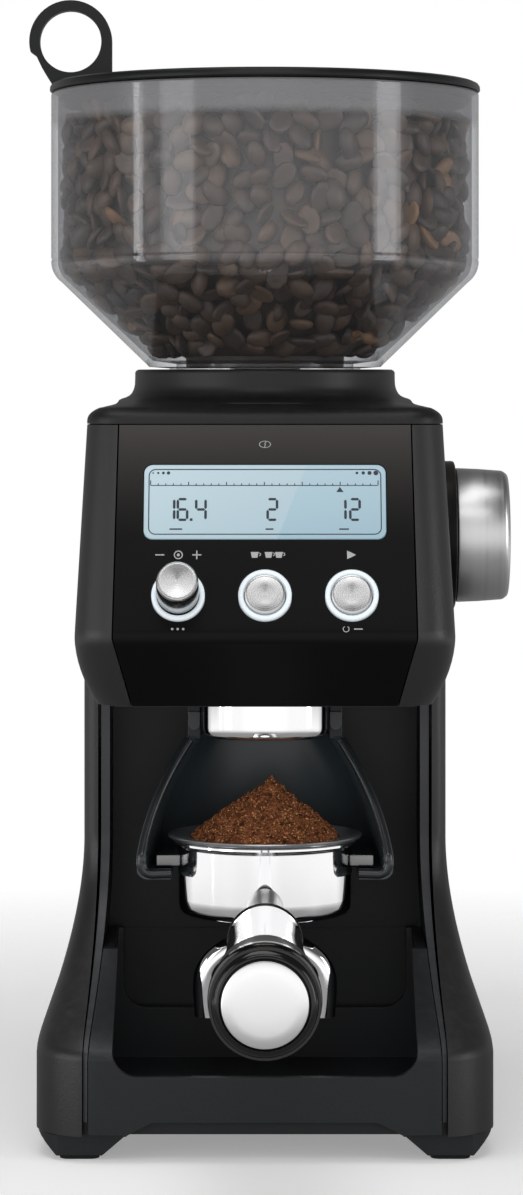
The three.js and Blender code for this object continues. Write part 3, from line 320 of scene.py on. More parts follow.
def join(obj, *shapes):
    return combine(obj, shapes, "UNION")


def keep(obj, *shapes):
    return combine(obj, shapes, "INTERSECT")


def asShape(obj):  # an object's mesh as points and faces again, and the object is removed
    back = toRow.inverted()
    points = [(back @ v.co) / mm for v in obj.data.vertices]
    faces = [list(p.vertices) for p in obj.data.polygons]
    bpy.data.objects.remove(obj)
    return points, faces


def softEdges(obj, width, segments=3, angle=32):
    bevel = obj.modifiers.new("edges", "BEVEL")
    bevel.width = width * mm
    bevel.segments = segments
    bevel.limit_method = "ANGLE"
    bevel.angle_limit = math.radians(angle)
    bevel.use_clamp_overlap = True
    bevel.harden_normals = False
    even = obj.modifiers.new("normals", "WEIGHTED_NORMAL")
    even.keep_sharp = True
    even.weight = 80
    return obj


def finished(obj, body, material, stands=(), sharp=40, bevel=0.0, segments=3):
    for polygon in obj.data.polygons:
        polygon.use_smooth = True
    if bevel:
        softEdges(obj, bevel, segments)
    elif sharp:
        obj.data.set_sharp_from_angle(angle=math.radians(sharp))
    obj.data.materials.clear()
    obj.data.materials.append(material)
    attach(obj, body)
    if stands:
        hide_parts(*((stands,) if isinstance(stands, str) else stands))
    return obj

# ---- shared effects


def newGroup(name, inputs, outputs):
    tree = bpy.data.node_groups.new(name, "ShaderNodeTree")
    for label, kind, value in inputs:
        socket = tree.interface.new_socket(label, in_out="INPUT", socket_type="NodeSocket" + kind)
        if value is not None:
            socket.default_value = value
    for label, kind in outputs:
        tree.interface.new_socket(label, in_out="OUTPUT", socket_type="NodeSocket" + kind)
    return Graph(tree, tree.nodes.new("NodeGroupInput"), tree.nodes.new("NodeGroupOutput"))


class Graph:  # a node tree with short ways to add and join nodes
    def __init__(self, tree, start=None, end=None):
        self.tree, self.start, self.end = tree, start, end

    def add(self, kind, inputs=None, **settings):
        node = self.tree.nodes.new("ShaderNode" + kind)
        for key, value in settings.items():
            setattr(node, key, value)
        for key, value in (inputs or {}).items():
            self.set(node, key, value)
        return node

    def set(self, node, key, value):
        socket = node.inputs[key]
        if isinstance(value, bpy.types.NodeSocket):
            self.tree.links.new(value, socket)
        elif hasattr(value, "outputs"):
            self.tree.links.new(value.outputs[0], socket)
        else:
            socket.default_value = value

    def math(self, operation, a, b=None, clampIt=False):
        node = self.add("Math", operation=operation, use_clamp=clampIt)
        self.set(node, 0, a)
        if b is not None:
            self.set(node, 1, b)
        return node.outputs[0]

    def ramp(self, value, low, high, outLow=0.0, outHigh=1.0):
        return self.add("MapRange", {"Value": value, "From Min": low, "From Max": high,
                                     "To Min": outLow, "To Max": outHigh}).outputs[0]

    def mixFloat(self, factor, a, b):
        return self.add("MapRange", {"Value": factor, "To Min": a, "To Max": b}).outputs[0]

    def mixColor(self, factor, a, b, blend="MIX"):
        node = self.add("Mix", data_type="RGBA", blend_type=blend)
        self.set(node, 0, factor)
        self.set(node, 6, a)
        self.set(node, 7, b)
        return node.outputs[2]


def makeGrainGroup():  # moulded texture: a bumped normal and an uneven roughness
    g = newGroup("mouldedGrain", [("Scale", "Float", 1800.0), ("Depth", "Float", 0.1), ("Roughness", "Float", 0.5)],
                 [("Normal", "Vector"), ("Roughness", "Float"), ("Patch", "Float")])
    place = g.add("TexCoord").outputs["Object"]
    fineNoise = g.add("TexNoise", {"Vector": place, "Scale": g.start.outputs["Scale"], "Detail": 2.0})
    broad = g.add("TexNoise", {"Vector": place, "Scale": 9.0, "Detail": 3.0})
    bump = g.add("Bump", {"Height": fineNoise, "Strength": g.start.outputs["Depth"], "Distance": 0.0004})
    sway = g.ramp(broad, 0.35, 0.65, -0.04, 0.04)
    g.set(g.end, "Normal", bump)
    g.set(g.end, "Roughness", g.math("ADD", g.start.outputs["Roughness"], sway))
    g.set(g.end, "Patch", broad)
    return g.tree


def makeSmudgeGroup():  # faint handling marks on polished faces
    g = newGroup("smudges", [("Amount", "Float", 0.05), ("Roughness", "Float", 0.1)], [("Roughness", "Float")])
    place = g.add("TexCoord").outputs["Object"]
    soft = g.add("TexNoise", {"Vector": place, "Scale": 22.0, "Detail": 5.0, "Roughness": 0.62})
    marks = g.ramp(soft, 0.48, 0.72)
    g.set(g.end, "Roughness", g.math("ADD", g.start.outputs["Roughness"],
                                     g.math("MULTIPLY", marks, g.start.outputs["Amount"])))
    return g.tree


def makeSpunGroup():  # turning marks about an axis: the tangent for a stretched highlight, and fine rings
    g = newGroup("spunRings", [("Centre", "Vector", None), ("Axis", "Vector", None), ("Pitch", "Float", 0.0004)],
                 [("Tangent", "Vector"), ("Rings", "Float")])
    place = g.add("TexCoord").outputs["Object"]
    arm = g.add("VectorMath", operation="SUBTRACT")
    g.set(arm, 0, place)
    g.set(arm, 1, g.start.outputs["Centre"])
    cross = g.add("VectorMath", operation="CROSS_PRODUCT")
    g.set(cross, 0, g.start.outputs["Axis"])
    g.set(cross, 1, arm)
    world = g.add("VectorTransform", {"Vector": cross}, vector_type="VECTOR", convert_from="OBJECT", convert_to="WORLD")
    length = g.add("VectorMath", operation="LENGTH")
    g.set(length, 0, cross)
    turn = g.math("DIVIDE", length.outputs["Value"], g.start.outputs["Pitch"])
    line = g.add("TexNoise", {"W": turn, "Scale": 1.0, "Detail": 2.0}, noise_dimensions="1D")
    g.set(g.end, "Tangent", world)
    g.set(g.end, "Rings", line)
    return g.tree


def makeEdgeGroup():  # where dust has gathered: faces that look up, broken by noise
    g = newGroup("dust", [("Amount", "Float", 0.3)], [("Mask", "Float")])
    place = g.add("TexCoord").outputs["Object"]
    up = g.add("SeparateXYZ", {"Vector": g.add("NewGeometry").outputs["Normal"]}).outputs["Z"]
    specks = g.add("TexNoise", {"Vector": place, "Scale": 260.0, "Detail": 4.0, "Roughness": 0.7})
    facing = g.ramp(up, 0.55, 1.0)
    mask = g.math("MULTIPLY", facing, g.ramp(specks, 0.45, 0.7))
    g.set(g.end, "Mask", g.math("MULTIPLY", mask, g.start.outputs["Amount"]))
    return g.tree


effects = {"grain": makeGrainGroup(), "smudge": makeSmudgeGroup(), "spun": makeSpunGroup(),
           "dust": makeEdgeGroup()}


# ---- materials


def newMaterial(name):
    material = bpy.data.materials.new(name)
    material.use_nodes = True
    material.node_tree.nodes.clear()
    g = Graph(material.node_tree)
    out = g.add("OutputMaterial")
    surface = g.add("BsdfPrincipled")
    g.set(out, "Surface", surface)
    g.out = out
    return material, g, surface


def effect(g, name, **inputs):
    node = g.add("Group")
    node.node_tree = effects[name]
    for key, value in inputs.items():
        g.set(node, key, value)
    return node


def gray(value, tint=(1, 1, 1)):
    return (value * tint[0], value * tint[1], value * tint[2], 1)


def plastic(name, color, roughness=0.5, depth=0.1, scale=1800.0, coat=0.0, dust=0.2, specular=0.5):
    material, g, surface = newMaterial(name)
    grain = effect(g, "grain", Scale=scale, Depth=depth, Roughness=roughness)
    veil = effect(g, "dust", Amount=dust)
    darker = tuple(c * 0.7 for c in color[:3]) + (1,)
    patch = g.mixColor(g.ramp(grain.outputs["Patch"], 0.35, 0.65, 0.0, 0.22), color, darker)
    g.set(surface, "Base Color", g.mixColor(veil.outputs["Mask"], patch, (0.32, 0.31, 0.3, 1)))
    g.set(surface, "Roughness", grain.outputs["Roughness"])
    g.set(surface, "Normal", grain.outputs["Normal"])
    g.set(surface, "Specular IOR Level", specular)
    g.set(surface, "Coat Weight", coat)
    g.set(surface, "Coat Roughness", 0.12)
    return material


def metal(name, color, roughness, smudge=0.05):
    material, g, surface = newMaterial(name)
    marks = effect(g, "smudge", Amount=smudge, Roughness=roughness)
    g.set(surface, "Base Color", color)
    g.set(surface, "Metallic", 1.0)
    g.set(surface, "Roughness", marks)
    return material


def spunMetal(name, color, roughness, centre, axis, stretch=0.75, pitch=0.0004, ringDepth=0.05):
    material, g, surface = newMaterial(name)
    rings = effect(g, "spun", Centre=toRow @ (Vector(centre) * mm), Axis=Vector(axis).normalized(), Pitch=pitch)
    marks = effect(g, "smudge", Amount=0.04, Roughness=roughness)
    tone = g.ramp(rings.outputs["Rings"], 0.3, 0.7)
    g.set(surface, "Base Color", g.mixColor(tone, tuple(c * 0.86 for c in color[:3]) + (1,), color))
    g.set(surface, "Metallic", 1.0)
    ringRoughness = g.ramp(rings.outputs["Rings"], 0.3, 0.7, 0.0, ringDepth)
    g.set(surface, "Roughness", g.math("ADD", marks, ringRoughness))
    g.set(surface, "Anisotropic", stretch)
    g.set(surface, "Tangent", rings.outputs["Tangent"])
    return material


shellPlastic = plastic("blackShell", gray(0.015, (1, 1, 1.03)), 0.42, 0.14, 1500, dust=0.06)
# painted shade: a darker copy of the shell's black plastic, for the top cover that lies in the hopper's shadow
coverPaintedShade = plastic("coverPaintedShadeBlack", gray(0.008), 0.42, 0.12, 1500, dust=0.03, specular=0.32)
panelPlastic = plastic("panelBlack", gray(0.0024, (1.08, 1, 1)), 0.34, 0.04, 2400, dust=0.02, specular=0.1)


def paintHighlightUpwards(material, low, high, tone):  # a painted highlight: the base colour drawn towards a second tone between two heights, in millimetres
    g = Graph(material.node_tree)
    surface = next(n for n in g.tree.nodes if n.type == "BSDF_PRINCIPLED")
    under = surface.inputs["Base Color"].links[0].from_socket
    height = g.add("SeparateXYZ", {"Vector": g.add("TexCoord").outputs["Object"]}).outputs["Z"]
    t = g.ramp(height, low * mm, high * mm)
    g.set(surface, "Base Color", g.mixColor(g.math("POWER", t, 1.6), under, tone))


# painted highlight: the front panel's colour grows paler towards its top
paintHighlightUpwards(panelPlastic, 200, 240, (0.056, 0.051, 0.048, 1))
basePlastic = plastic("baseGrey", gray(0.014, (0.86, 1, 1.1)), 0.44, 0.14, 1500, dust=0.04, specular=0.4)
trimPlastic = plastic("trimGrey", gray(0.034, (0.9, 1, 1.1)), 0.42, 0.1, 1500, dust=0.08)
bayPlastic = plastic("bayBlack", gray(0.012, (0.84, 1, 1.14)), 0.45, 0.08, 1500, dust=0.03, specular=0.35)
cradlePlastic = plastic("cradleBlack", gray(0.05, (0.8, 1, 1.12)), 0.3, 0.05, 1500, dust=0.03)
rimPlastic = plastic("cradleRim", gray(0.018, (0.85, 1, 1.1)), 0.2, 0.02, 1500, dust=0.0, specular=0.6)
rubberBlack = plastic("rubber", gray(0.02), 0.75, 0.3, 900, dust=0.2, specular=0.3)
lidPlastic = plastic("lidBlack", gray(0.007, (0.9, 1, 1.04)), 0.34, 0.02, 1200, dust=0.03, specular=0.25)
gripPlastic = plastic("gripBlack", gray(0.008), 0.38, 0.08, 2000, dust=0.1)
glossBlack = plastic("glossRing", gray(0.006), 0.13, 0.0, 1200, dust=0.0, specular=0.42)
nylonWhite = plastic("acetal", gray(0.62, (1, 0.97, 0.88)), 0.45, 0.05, 900)
chrome = metal("chrome", gray(0.86, (1, 1, 1.01)), 0.045, 0.05)
castMetal = metal("castNeck", gray(0.42), 0.34, 0.05)
# painted shade: a darkened copy of the steel, standing in for chrome that reflects the dark bay
paintedShadeSteel = metal("paintedShadeSteel", gray(0.2), 0.22, 0.05)
steel = metal("machinedSteel", gray(0.45, (1, 1, 1.03)), 0.3, 0.1)


def makeBoardMaterial():  # green solder mask with a faint grid of tracks
    material, g, surface = newMaterial("circuitBoard")
    place = g.add("TexCoord").outputs["Object"]
    tracks = g.add("TexBrick", {"Vector": place, "Scale": 260.0, "Mortar Size": 0.03})
    tone = g.mixColor(g.ramp(tracks.outputs["Fac"], 0, 1), (0.012, 0.09, 0.035, 1), (0.03, 0.17, 0.07, 1))
    g.set(surface, "Base Color", tone)
    g.set(surface, "Roughness", 0.35)
    return material


def makeSmokeMaterial():  # thin tinted plastic: clear face on, more solid and bright at a glance
    material, g, surface = newMaterial("smokedPlastic")
    marks = effect(g, "smudge", Amount=0.06, Roughness=0.06)
    facing = g.add("LayerWeight", {"Blend": 0.3}).outputs["Facing"]
    g.set(surface, "Base Color", (0.9, 0.9, 0.92, 1))
    g.set(surface, "Metallic", 1.0)
    g.set(surface, "Roughness", marks)
    clear = g.add("BsdfTransparent", {"Color": g.mixColor(facing, smoke["face"], smoke["edge"])})
    haze = g.add("BsdfDiffuse", {"Color": smoke["hazeTone"]})
    height = g.add("SeparateXYZ", {"Vector": g.add("TexCoord").outputs["Object"]}).outputs["Z"]
    rise = g.ramp(height, (smoke["bandLow"] - 1.5) * mm, (smoke["bandLow"] + 1.5) * mm)
    body = g.add("MixShader")
    wallHaze = g.mixFloat(facing, smoke["haze"], smoke["hazeEdge"])
    g.set(body, 0, g.math("ADD", wallHaze, g.math("MULTIPLY", rise, smoke["bandHaze"])))
    g.set(body, 1, clear)
    g.set(body, 2, haze)
    mix = g.add("MixShader")
    behind = g.add("NewGeometry").outputs["Backfacing"]
    g.set(mix, 0, g.add("Fresnel", {"IOR": g.mixFloat(behind, smoke["ior"], 1 / smoke["ior"])}))
    g.set(mix, 1, body)
    g.set(mix, 2, surface)
    g.set(g.out, "Surface", mix)
    return material


smoke = {"face": (0.96, 0.96, 0.965, 1), "edge": (0.66, 0.67, 0.68, 1), "hazeTone": (0.34, 0.34, 0.35, 1),
         "haze": 0.03, "hazeEdge": 0.05, "bandLow": 344, "bandHaze": 0.32, "ior": 1.46}


def makeBeanMaterial():
    material, g, surface = newMaterial("roastedBeans")
    tone = g.add("TexCoord").outputs["Object"]
    patches = g.add("TexNoise", {"Vector": tone, "Scale": 90.0, "Detail": 2.0})
    each = g.add("Attribute", attribute_name="beanTone", attribute_type="GEOMETRY")
    dark = g.mixColor(g.ramp(patches, 0.3, 0.7), (0.03, 0.019, 0.014, 1), (0.085, 0.054, 0.038, 1))
    pale = g.mixColor(g.ramp(patches, 0.3, 0.7), (0.22, 0.115, 0.05, 1), (0.34, 0.18, 0.08, 1))
    g.set(surface, "Base Color", g.mixColor(each.outputs["Fac"], dark, pale))
    g.set(surface, "Roughness", 0.42)
    g.set(surface, "Specular IOR Level", 0.55)
    return material


def makeGroundsMaterial():
    material, g, surface = newMaterial("groundCoffee")
    place = g.add("TexCoord").outputs["Object"]
    crumbs = g.add("TexVoronoi", {"Vector": place, "Scale": 1500.0})
    lumps = g.add("TexNoise", {"Vector": place, "Scale": 420.0, "Detail": 5.0, "Roughness": 0.7})
    flecks = g.add("TexNoise", {"Vector": place, "Scale": 1400.0, "Detail": 1.0})
    tone = g.mixColor(g.ramp(lumps, 0.35, 0.65), (0.05, 0.016, 0.007, 1), (0.3, 0.104, 0.04, 1))
    tone = g.mixColor(g.ramp(flecks, 0.6, 0.68), tone, (0.7, 0.33, 0.13, 1))
    bump = g.add("Bump", {"Height": crumbs.outputs["Distance"], "Strength": 0.8, "Distance": 0.0006})
    g.set(surface, "Base Color", tone)
    g.set(surface, "Roughness", 0.9)
    g.set(surface, "Normal", bump)
    g.set(surface, "Specular IOR Level", 0.2)
    return material


def makeFlatMaterial(name, color, roughness=0.5, glow=0.0):
    material, g, surface = newMaterial(name)
    marks = effect(g, "smudge", Amount=0.04, Roughness=roughness)
    g.set(surface, "Base Color", color)
    g.set(surface, "Roughness", marks)
    g.set(surface, "Emission Color", color)
    g.set(surface, "Emission Strength", glow)
    return material


boardGreen = makeBoardMaterial()
smokedPlastic = makeSmokeMaterial()
beanBrown = makeBeanMaterial()
groundBrown = makeGroundsMaterial()
markGrey = makeFlatMaterial("markGrey", (0.42, 0.43, 0.44, 1), 0.5)
inkNavy = makeFlatMaterial("inkNavy", (0.012, 0.02, 0.035, 1), 0.4)
lampWhite = makeFlatMaterial("lampWhite", (0.7, 0.76, 0.8, 1), 0.35, 0.34)
makeWorld()
makeStudio()
print("materials and light made")

# ---- casing

casing = {
    "columnHalf": 62.5, "baseHalf": 75.2, "columnFront": -25, "baseFront": -104, "columnRear": 104, "baseRear": 110,
    "bottom": 8.6, "baseEdge": 37, "flareTop": 98, "headBottom": 146, "crease": 169, "top": 238.8, "wall": 3,
    "headHalf": 63, "headTopHalf": 60, "chinHalf": 56, "creaseFront": -90, "headTopFront": -64, "chinFront": -78,
    "sideSeam": 70, "seam": 0.5, "creaseSoftness": 3.0, "shoulderSoftness": 0.16,
}
headBottom, crease, casingTop = casing["headBottom"], casing["crease"], casing["top"]
far = 400


def softMin(a, b, size):
    blend = max(size - abs(a - b), 0) / size
    return min(a, b) - blend * blend * size / 4


def flare(z):  # 0 where the flare meets the column, 1 at the top edge of the base
    rise = max(0.0, (casing["flareTop"] - z) / (casing["flareTop"] - casing["baseEdge"])) ** 2
    return clamp(softMin(rise, 1.0, casing["shoulderSoftness"]) if rise > 0.5 else rise)


def columnPlan(z, inset=0.0):
    t = flare(z)
    return {"half": lerp(casing["columnHalf"], casing["baseHalf"], t) - inset,
            "front": lerp(casing["columnFront"], casing["baseFront"], t) + inset,
            "rear": lerp(casing["columnRear"], casing["baseRear"], t) - inset,
            "frontRadius": lerp(5, 21, math.sqrt(t)) - inset, "rearRadius": 26 - inset}


def headPlan(z, inset=0.0):
    up = clamp((z - crease) / (casingTop - crease))
    down = clamp((crease - z) / (crease - headBottom))
    if z > crease:
        half = lerp(casing["headHalf"], casing["headTopHalf"], up)
    else:
        half = lerp(casing["headHalf"], casing["chinHalf"], down ** 2)
    topSlope = (casing["headTopFront"] - casing["creaseFront"]) / (casingTop - crease)
    chinSlope = (casing["chinFront"] - casing["creaseFront"]) / (crease - headBottom)
    above = casing["creaseFront"] + (z - crease) * topSlope
    below = casing["creaseFront"] + (crease - z) * chinSlope
    front = -softMin(-above, -below, casing["creaseSoftness"])
    return {"half": half - inset, "front": front + inset, "rear": casing["columnRear"] - inset,
            "frontRadius": 12 - inset, "rearRadius": 26 - inset}


def planRing(plan, z, arcSteps=9):
    half, front, rear, r, q = (plan[k] for k in ("half", "front", "rear", "frontRadius", "rearRadius"))
    ring = []
    for cx, cy, radius, start in ((half - r, front + r, r, -90), (half - q, rear - q, q, 0),
                                  (-half + q, rear - q, q, 90), (-half + r, front + r, r, 180)):
        for i in range(arcSteps + 1):
            angle = math.radians(start + 90 * i / arcSteps)
            ring.append((cx + radius * math.cos(angle), cy + radius * math.sin(angle), z))
    return ring


flareLevels = [casing["baseEdge"] - 4, casing["baseEdge"] - 1.5] + spread(casing["baseEdge"], casing["flareTop"], 26)
headLevels = spread(headBottom, crease - 3, 7) + spread(crease - 2, crease + 2, 6) + spread(crease + 3, casingTop, 8)


def columnForm(inset=0.0, below=0.0):
    return loft([planRing(columnPlan(z, inset), z) for z in [casing["bottom"] - below] + flareLevels + [crease]])


def headForm(inset=0.0, reach=0.0):
    rings = [planRing(headPlan(z, inset), z) for z in headLevels]
    if reach:
        rings = ([planRing(headPlan(headBottom, inset), headBottom - reach)] + rings
                 + [planRing(headPlan(casingTop, inset), casingTop + reach)])
    return loft(rings)


def flaredBlock(columnHalf, baseHalf, front, rear, bottom, top):
    levels = [bottom] + [z for z in flareLevels if bottom + 1 < z < top - 1] + [top]
    rings = []
    for z in levels:
        half = lerp(columnHalf, baseHalf, flare(z))
        rings.append([(half, front, z), (half, rear, z), (-half, rear, z), (-half, front, z)])
    return loft(rings)


liner = {"half": 56.5, "baseHalf": 59, "bay": 53.5, "tray": 57.3, "back": 5, "wall": 2.4, "ledge": 60.6}


def casingSkin(name):
    skin = solid(name, columnForm())
    join(skin, headForm())
    inner = solid("inner", columnForm(casing["wall"], casing["wall"]))
    join(inner, headForm(casing["wall"], casing["wall"]),
         flaredBlock(liner["half"] + 1, liner["baseHalf"] + 0.3, -far, liner["back"] + 20, 0, headBottom))
    return cut(skin, asShape(inner))


def panelWedge(extra):
    rows = [(headBottom - 5, 43.8), (headBottom, 43.8), (crease, 49.8), (casingTop + 5, 48.6)]
    rows = curveThrough(rows, 1)
    front, rear = -far, casing["headTopFront"] + 11
    return loft([[(half + extra, front, z), (half + extra, rear, z), (-half - extra, rear, z), (-half - extra, front, z)]
                 for z, half in rows])


lean = math.atan2(casing["headTopFront"] - casing["creaseFront"], casingTop - crease)
panelMatrix = (Matrix.Translation((0, casing["creaseFront"], crease))
               @ Matrix.Rotation(math.radians(90) - lean, 4, "X"))


def onPanel(shape, x=0.0, v=0.0, out=0.0):  # x across, v up the slope from the crease, out of the panel
    return moved(shape, panelMatrix @ Matrix.Translation((x, v, out)))


def rod(radius, low, high, sides=64):
    return lathe([(0, low), (radius, low), (radius, high), (0, high)], sides)


dialHeight = 199.4
skinShape = asShape(casingSkin("skin"))
shellBore = at(onX(rod(6, 0, far)), z=dialHeight)
for side, name, left, right in (("left", "leftSideShell", -far, -1), ("right", "rightSideShell", 1, far)):
    shell = solid(name, skinShape)
    cut(shell, panelWedge(casing["seam"]), block(-far, far, casing["sideSeam"] - 0.3, far, -far, far), shellBore)
    keep(shell, block(left, right, -far, far, -far, far))
    finished(shell, "casing", shellPlastic, side + "_side_shell", bevel=0.7)

rear = solid("rearCover", skinShape)
keep(rear, block(-far, far, casing["sideSeam"], far, -far, far))
slots = [at(upright(slab(roundedRect(60, 2.6, 1.2), 0, far)),
            y=far + casing["sideSeam"] + 3, z=156.3 - 7 * row)
         for row in range(6)]
cut(rear, *slots, at(upright(rod(9, 0, far)), y=far + casing["sideSeam"], z=52))
finished(rear, "casing", shellPlastic, "rear_cover", bevel=0.6)
print("shells made")

display = {"width": 80.4, "height": 26, "centre": 47.5, "radius": 3, "lensTop": -0.3}
keys = {"pitch": 28.6, "height": 15, "radius": 6.75, "ring": 8.8}

panel = solid("frontPanel", skinShape)
keep(panel, panelWedge(0))
displayHole = roundedRect(display["width"] + 0.6, display["height"] + 0.6, display["radius"] + 0.3)
cut(panel, onPanel(slab(displayHole, -8, 8), v=display["centre"]),
    *[onPanel(rod(keys["ring"] + 0.3, -8, 8), side * keys["pitch"], keys["height"]) for side in (-1, 0, 1)])
finished(panel, "casing", panelPlastic, "front_panel", bevel=0.5)

# ---- top cover

cover = {"collar": 45.6, "collarTop": 257.5, "bore": 34.1, "socketWall": 2.6, "neckDepth": 15,
         "rings": [  # inset from the casing's outline, radius of the round it blends to, share of round, height
             (0.0, 62, 0, 239.1), (0.0, 62, 0, 240.4), (0.5, 62, 0, 241.9), (1.9, 61, 0, 243.3), (4.2, 60, 0, 244.5),
             (7.5, 59.6, 0.35, 245.3), (9, 58, 0.8, 245.9), (9, 52, 1, 246.9), (9, 47.6, 1, 248.4),
             (9, 45.9, 1, 251.2), (9, 45.6, 1, 254.5), (9, 45.6, 1, 256.4)]}


def coverRing(inset, radius, share, z):  # the head's outline, drawn towards a circle, at even angles
    plan = planRing(headPlan(casingTop, inset), z, 18)
    ring = []
    for angle in (math.tau * (k + 0.5) / 300 for k in range(300)):
        c, s = math.cos(angle), math.sin(angle)
        for (x0, y0, _), (x1, y1, _) in zip(plan, plan[1:] + plan[:1]):
            side0, side1 = c * y0 - s * x0, c * y1 - s * x1
            if side0 * side1 <= 0 and side0 != side1:
                t = side0 / (side0 - side1)
                reach = c * lerp(x0, x1, t) + s * lerp(y0, y1, t)
                if reach > 0:
                    break
        size = lerp(reach, min(radius, reach), share)
        ring.append((c * size, s * size, z))
    return ring


def coverForm(grow, drop):
    rings = [coverRing(inset + grow, radius - grow * share, clamp(share), z - drop)
             for inset, radius, share, z in curveThrough(cover["rings"], 3)]
    rings.append(coverRing(9 + grow, cover["collar"] - grow - 0.4, 1, cover["collarTop"] - 0.4 - drop))
    rings.append(coverRing(9 + grow, cover["collar"] - grow - 1.2, 1, cover["collarTop"] - drop))
    return loft(rings)


topCover = solid("topCover", coverForm(0, 0))
cut(topCover, coverForm(casing["wall"], casing["wall"]))
socketRadius, socketLow = cover["bore"] + cover["socketWall"], cover["collarTop"] - cover["neckDepth"]
join(topCover, rod(socketRadius, socketLow, cover["collarTop"] - 1, 96))
cut(topCover, rod(cover["bore"], casingTop - 20, cover["collarTop"] + 1, 96))
finished(topCover, "casing", coverPaintedShade, "top_cover", bevel=0.4)
print("panel and cover made")

# ---- bay liner and grinds tray

plateTop = 12.9


linerRear = liner["back"] + liner["wall"]
bay = solid("bayLiner", flaredBlock(liner["half"], liner["baseHalf"], -far, linerRear, plateTop + 0.3, headBottom))
keep(bay, columnForm(1.2))
cut(bay, flaredBlock(liner["bay"], liner["tray"] + 0.3, -far, liner["back"], 0, headBottom + 1))
ceilingPlan = dict(headPlan(headBottom, 3.3), rear=linerRear, rearRadius=4)
join(bay, loft([planRing(ceilingPlan, z) for z in (headBottom - 0.5, headBottom + 2)]))
cut(bay, block(-13, 13, -57.5, -32.5, headBottom - 9, headBottom + 9),
    block(-liner["bay"], liner["bay"], 0, liner["back"] + 0.6, liner["ledge"], liner["ledge"] + 0.8),
    at(upright(rod(5.6, -50, 50)), z=96.5))
finished(bay, "casing", bayPlastic, "bay_liner", bevel=0.25, segments=2)


def paintFaces(obj, material, chosen):  # a second material on the faces whose centre is chosen, in mm
    obj.data.materials.append(material)
    back = toRow.inverted()
    for polygon in obj.data.polygons:
        if chosen((back @ polygon.center) / mm, polygon.normal):
            polygon.material_index = 1


# the liner's front edge is a grey strip
paintFaces(bay, trimPlastic, lambda p, n: p.z < headBottom - 1 and abs(p.x) > liner["bay"] - 0.4 and n.y < -0.3)

tray = {"bottom": 9.2, "top": 62, "front": 28, "rear": 34, "wall": 3.4, "notchRadius": 8}


def trayHalf(inset):
    return flaredBlock(liner["bay"] - 0.3 - inset, liner["tray"] - inset, -far, -inset, 0, tray["top"] + 20)


drawer = solid("grindsTray", trayHalf(0))
keep(drawer, columnForm())
keep(drawer, block(-200, 200, -far, 200, tray["bottom"], tray["top"]))
hollow = solid("hollow", trayHalf(tray["wall"]))
keep(hollow, columnForm(tray["wall"], 20))
cut(hollow, block(-200, 200, -far, 200, -50, plateTop + 0.3 + tray["wall"]))
notchOutline = roundedRect(2 * 49.5, 68, tray["notchRadius"], 12)
recessOutline = [(-44.6, 8), (44.6, 8), (44.6, 9.2), (36.6, 13.2), (-36.6, 13.2), (-44.6, 9.2)]
cut(drawer, asShape(hollow),
    at(upright(slab(notchOutline, 0, far)), y=-29, z=tray["front"] + 34),
    at(upright(slab(notchOutline, -80, 1)), y=-29, z=tray["rear"] + 34),
    block(-200, 200, casing["baseFront"] + tray["wall"], 200, -50, plateTop + 0.3),
    at(upright(slab([Vector(p) for p in recessOutline], 0, far)), y=casing["baseFront"] + tray["wall"] + 1))
finished(drawer, "tray", basePlastic, "grinds_tray", bevel=0.55)
paintFaces(drawer, bayPlastic, lambda p, n: p.y > -101 and p.z > plateTop and abs(p.x) < 53 and p.z < 58
           and (n.z > 0.3 or p.z < 57) and not (n.y < -0.5 and p.y < -99.5) and (p - Vector((0, -50, 30))).dot(n) < 0)

# ---- base

foot = {"topInner": 45, "bottomOuter": 68, "bottomInner": 53, "length": 20, "front": -98, "rear": 98, "low": 1.5}


def basePlan(inset, z0, z1):
    plan = columnPlan(casing["bottom"], inset)
    return loft([planRing(plan, z) for z in (z0, z1)])


chassis = solid("baseChassis", basePlan(3.3, 8.9, plateTop))
cut(chassis, block(-200, 200, -far, casing["baseFront"] + tray["wall"] + 0.3, 0, 50))
for start in (foot["front"], foot["rear"] - foot["length"]):
    outer, inner = -casing["baseHalf"], -foot["topInner"]
    outline = [(outer, 8.3), (-foot["bottomOuter"], foot["low"]), (-foot["bottomInner"], foot["low"]), (inner, 8.3)]
    neck = [(outer, 7.6), (inner, 7.6), (inner, 9.9), (outer, 9.9)]
    for shape, inset in ((outline, 0.7), (neck, 3.3)):
        leg = solid("leg", at(upright(slab([Vector(p) for p in shape], 0, foot["length"])), y=start + foot["length"]))
        keep(leg, basePlan(inset, 0, 20))
        legShape = asShape(leg)
        join(chassis, legShape, flipped(legShape))
finished(chassis, "casing", basePlastic, "base_chassis", bevel=0.6)
for end, start in (("front", foot["front"]), ("rear", foot["rear"] - foot["length"])):
    for side, sign in (("left", -1), ("right", 1)):
        pad = slab([Vector(p) for p in roundedRect(13, 16, 3)], 0, 1.2)
        pad = solid("footPad_%s_%s" % (end, side), at(pad, sign * 60.5, start + foot["length"] / 2))
        finished(pad, "casing", rubberBlack, "foot_pad_%s_%s" % (end, side), bevel=0.25, segments=2)
print("bay, tray and base made")

# ---- hopper, lid and beans

hopper = {"foot": 258.4, "footRadius": 40.6, "radius": 75, "wall": 2.4, "rim": 354.4, "wallStart": 295.4,
          "neck": 33.5, "neckBottom": 242.5, "bend": 9}


def hopperSide(inset, low=0.0):  # from the foot up to where the wall stands upright
    radius, start = hopper["radius"] - inset, hopper["wallStart"]
    side = [(hopper["footRadius"] - inset * 0.5, hopper["foot"] + inset * 0.9 + low)]
    for degrees in spread(54, 0, 9):
        angle = math.radians(degrees)
        side.append((radius - hopper["bend"] * (1 - math.cos(angle)), start - hopper["bend"] * math.sin(angle) + low))
    return side


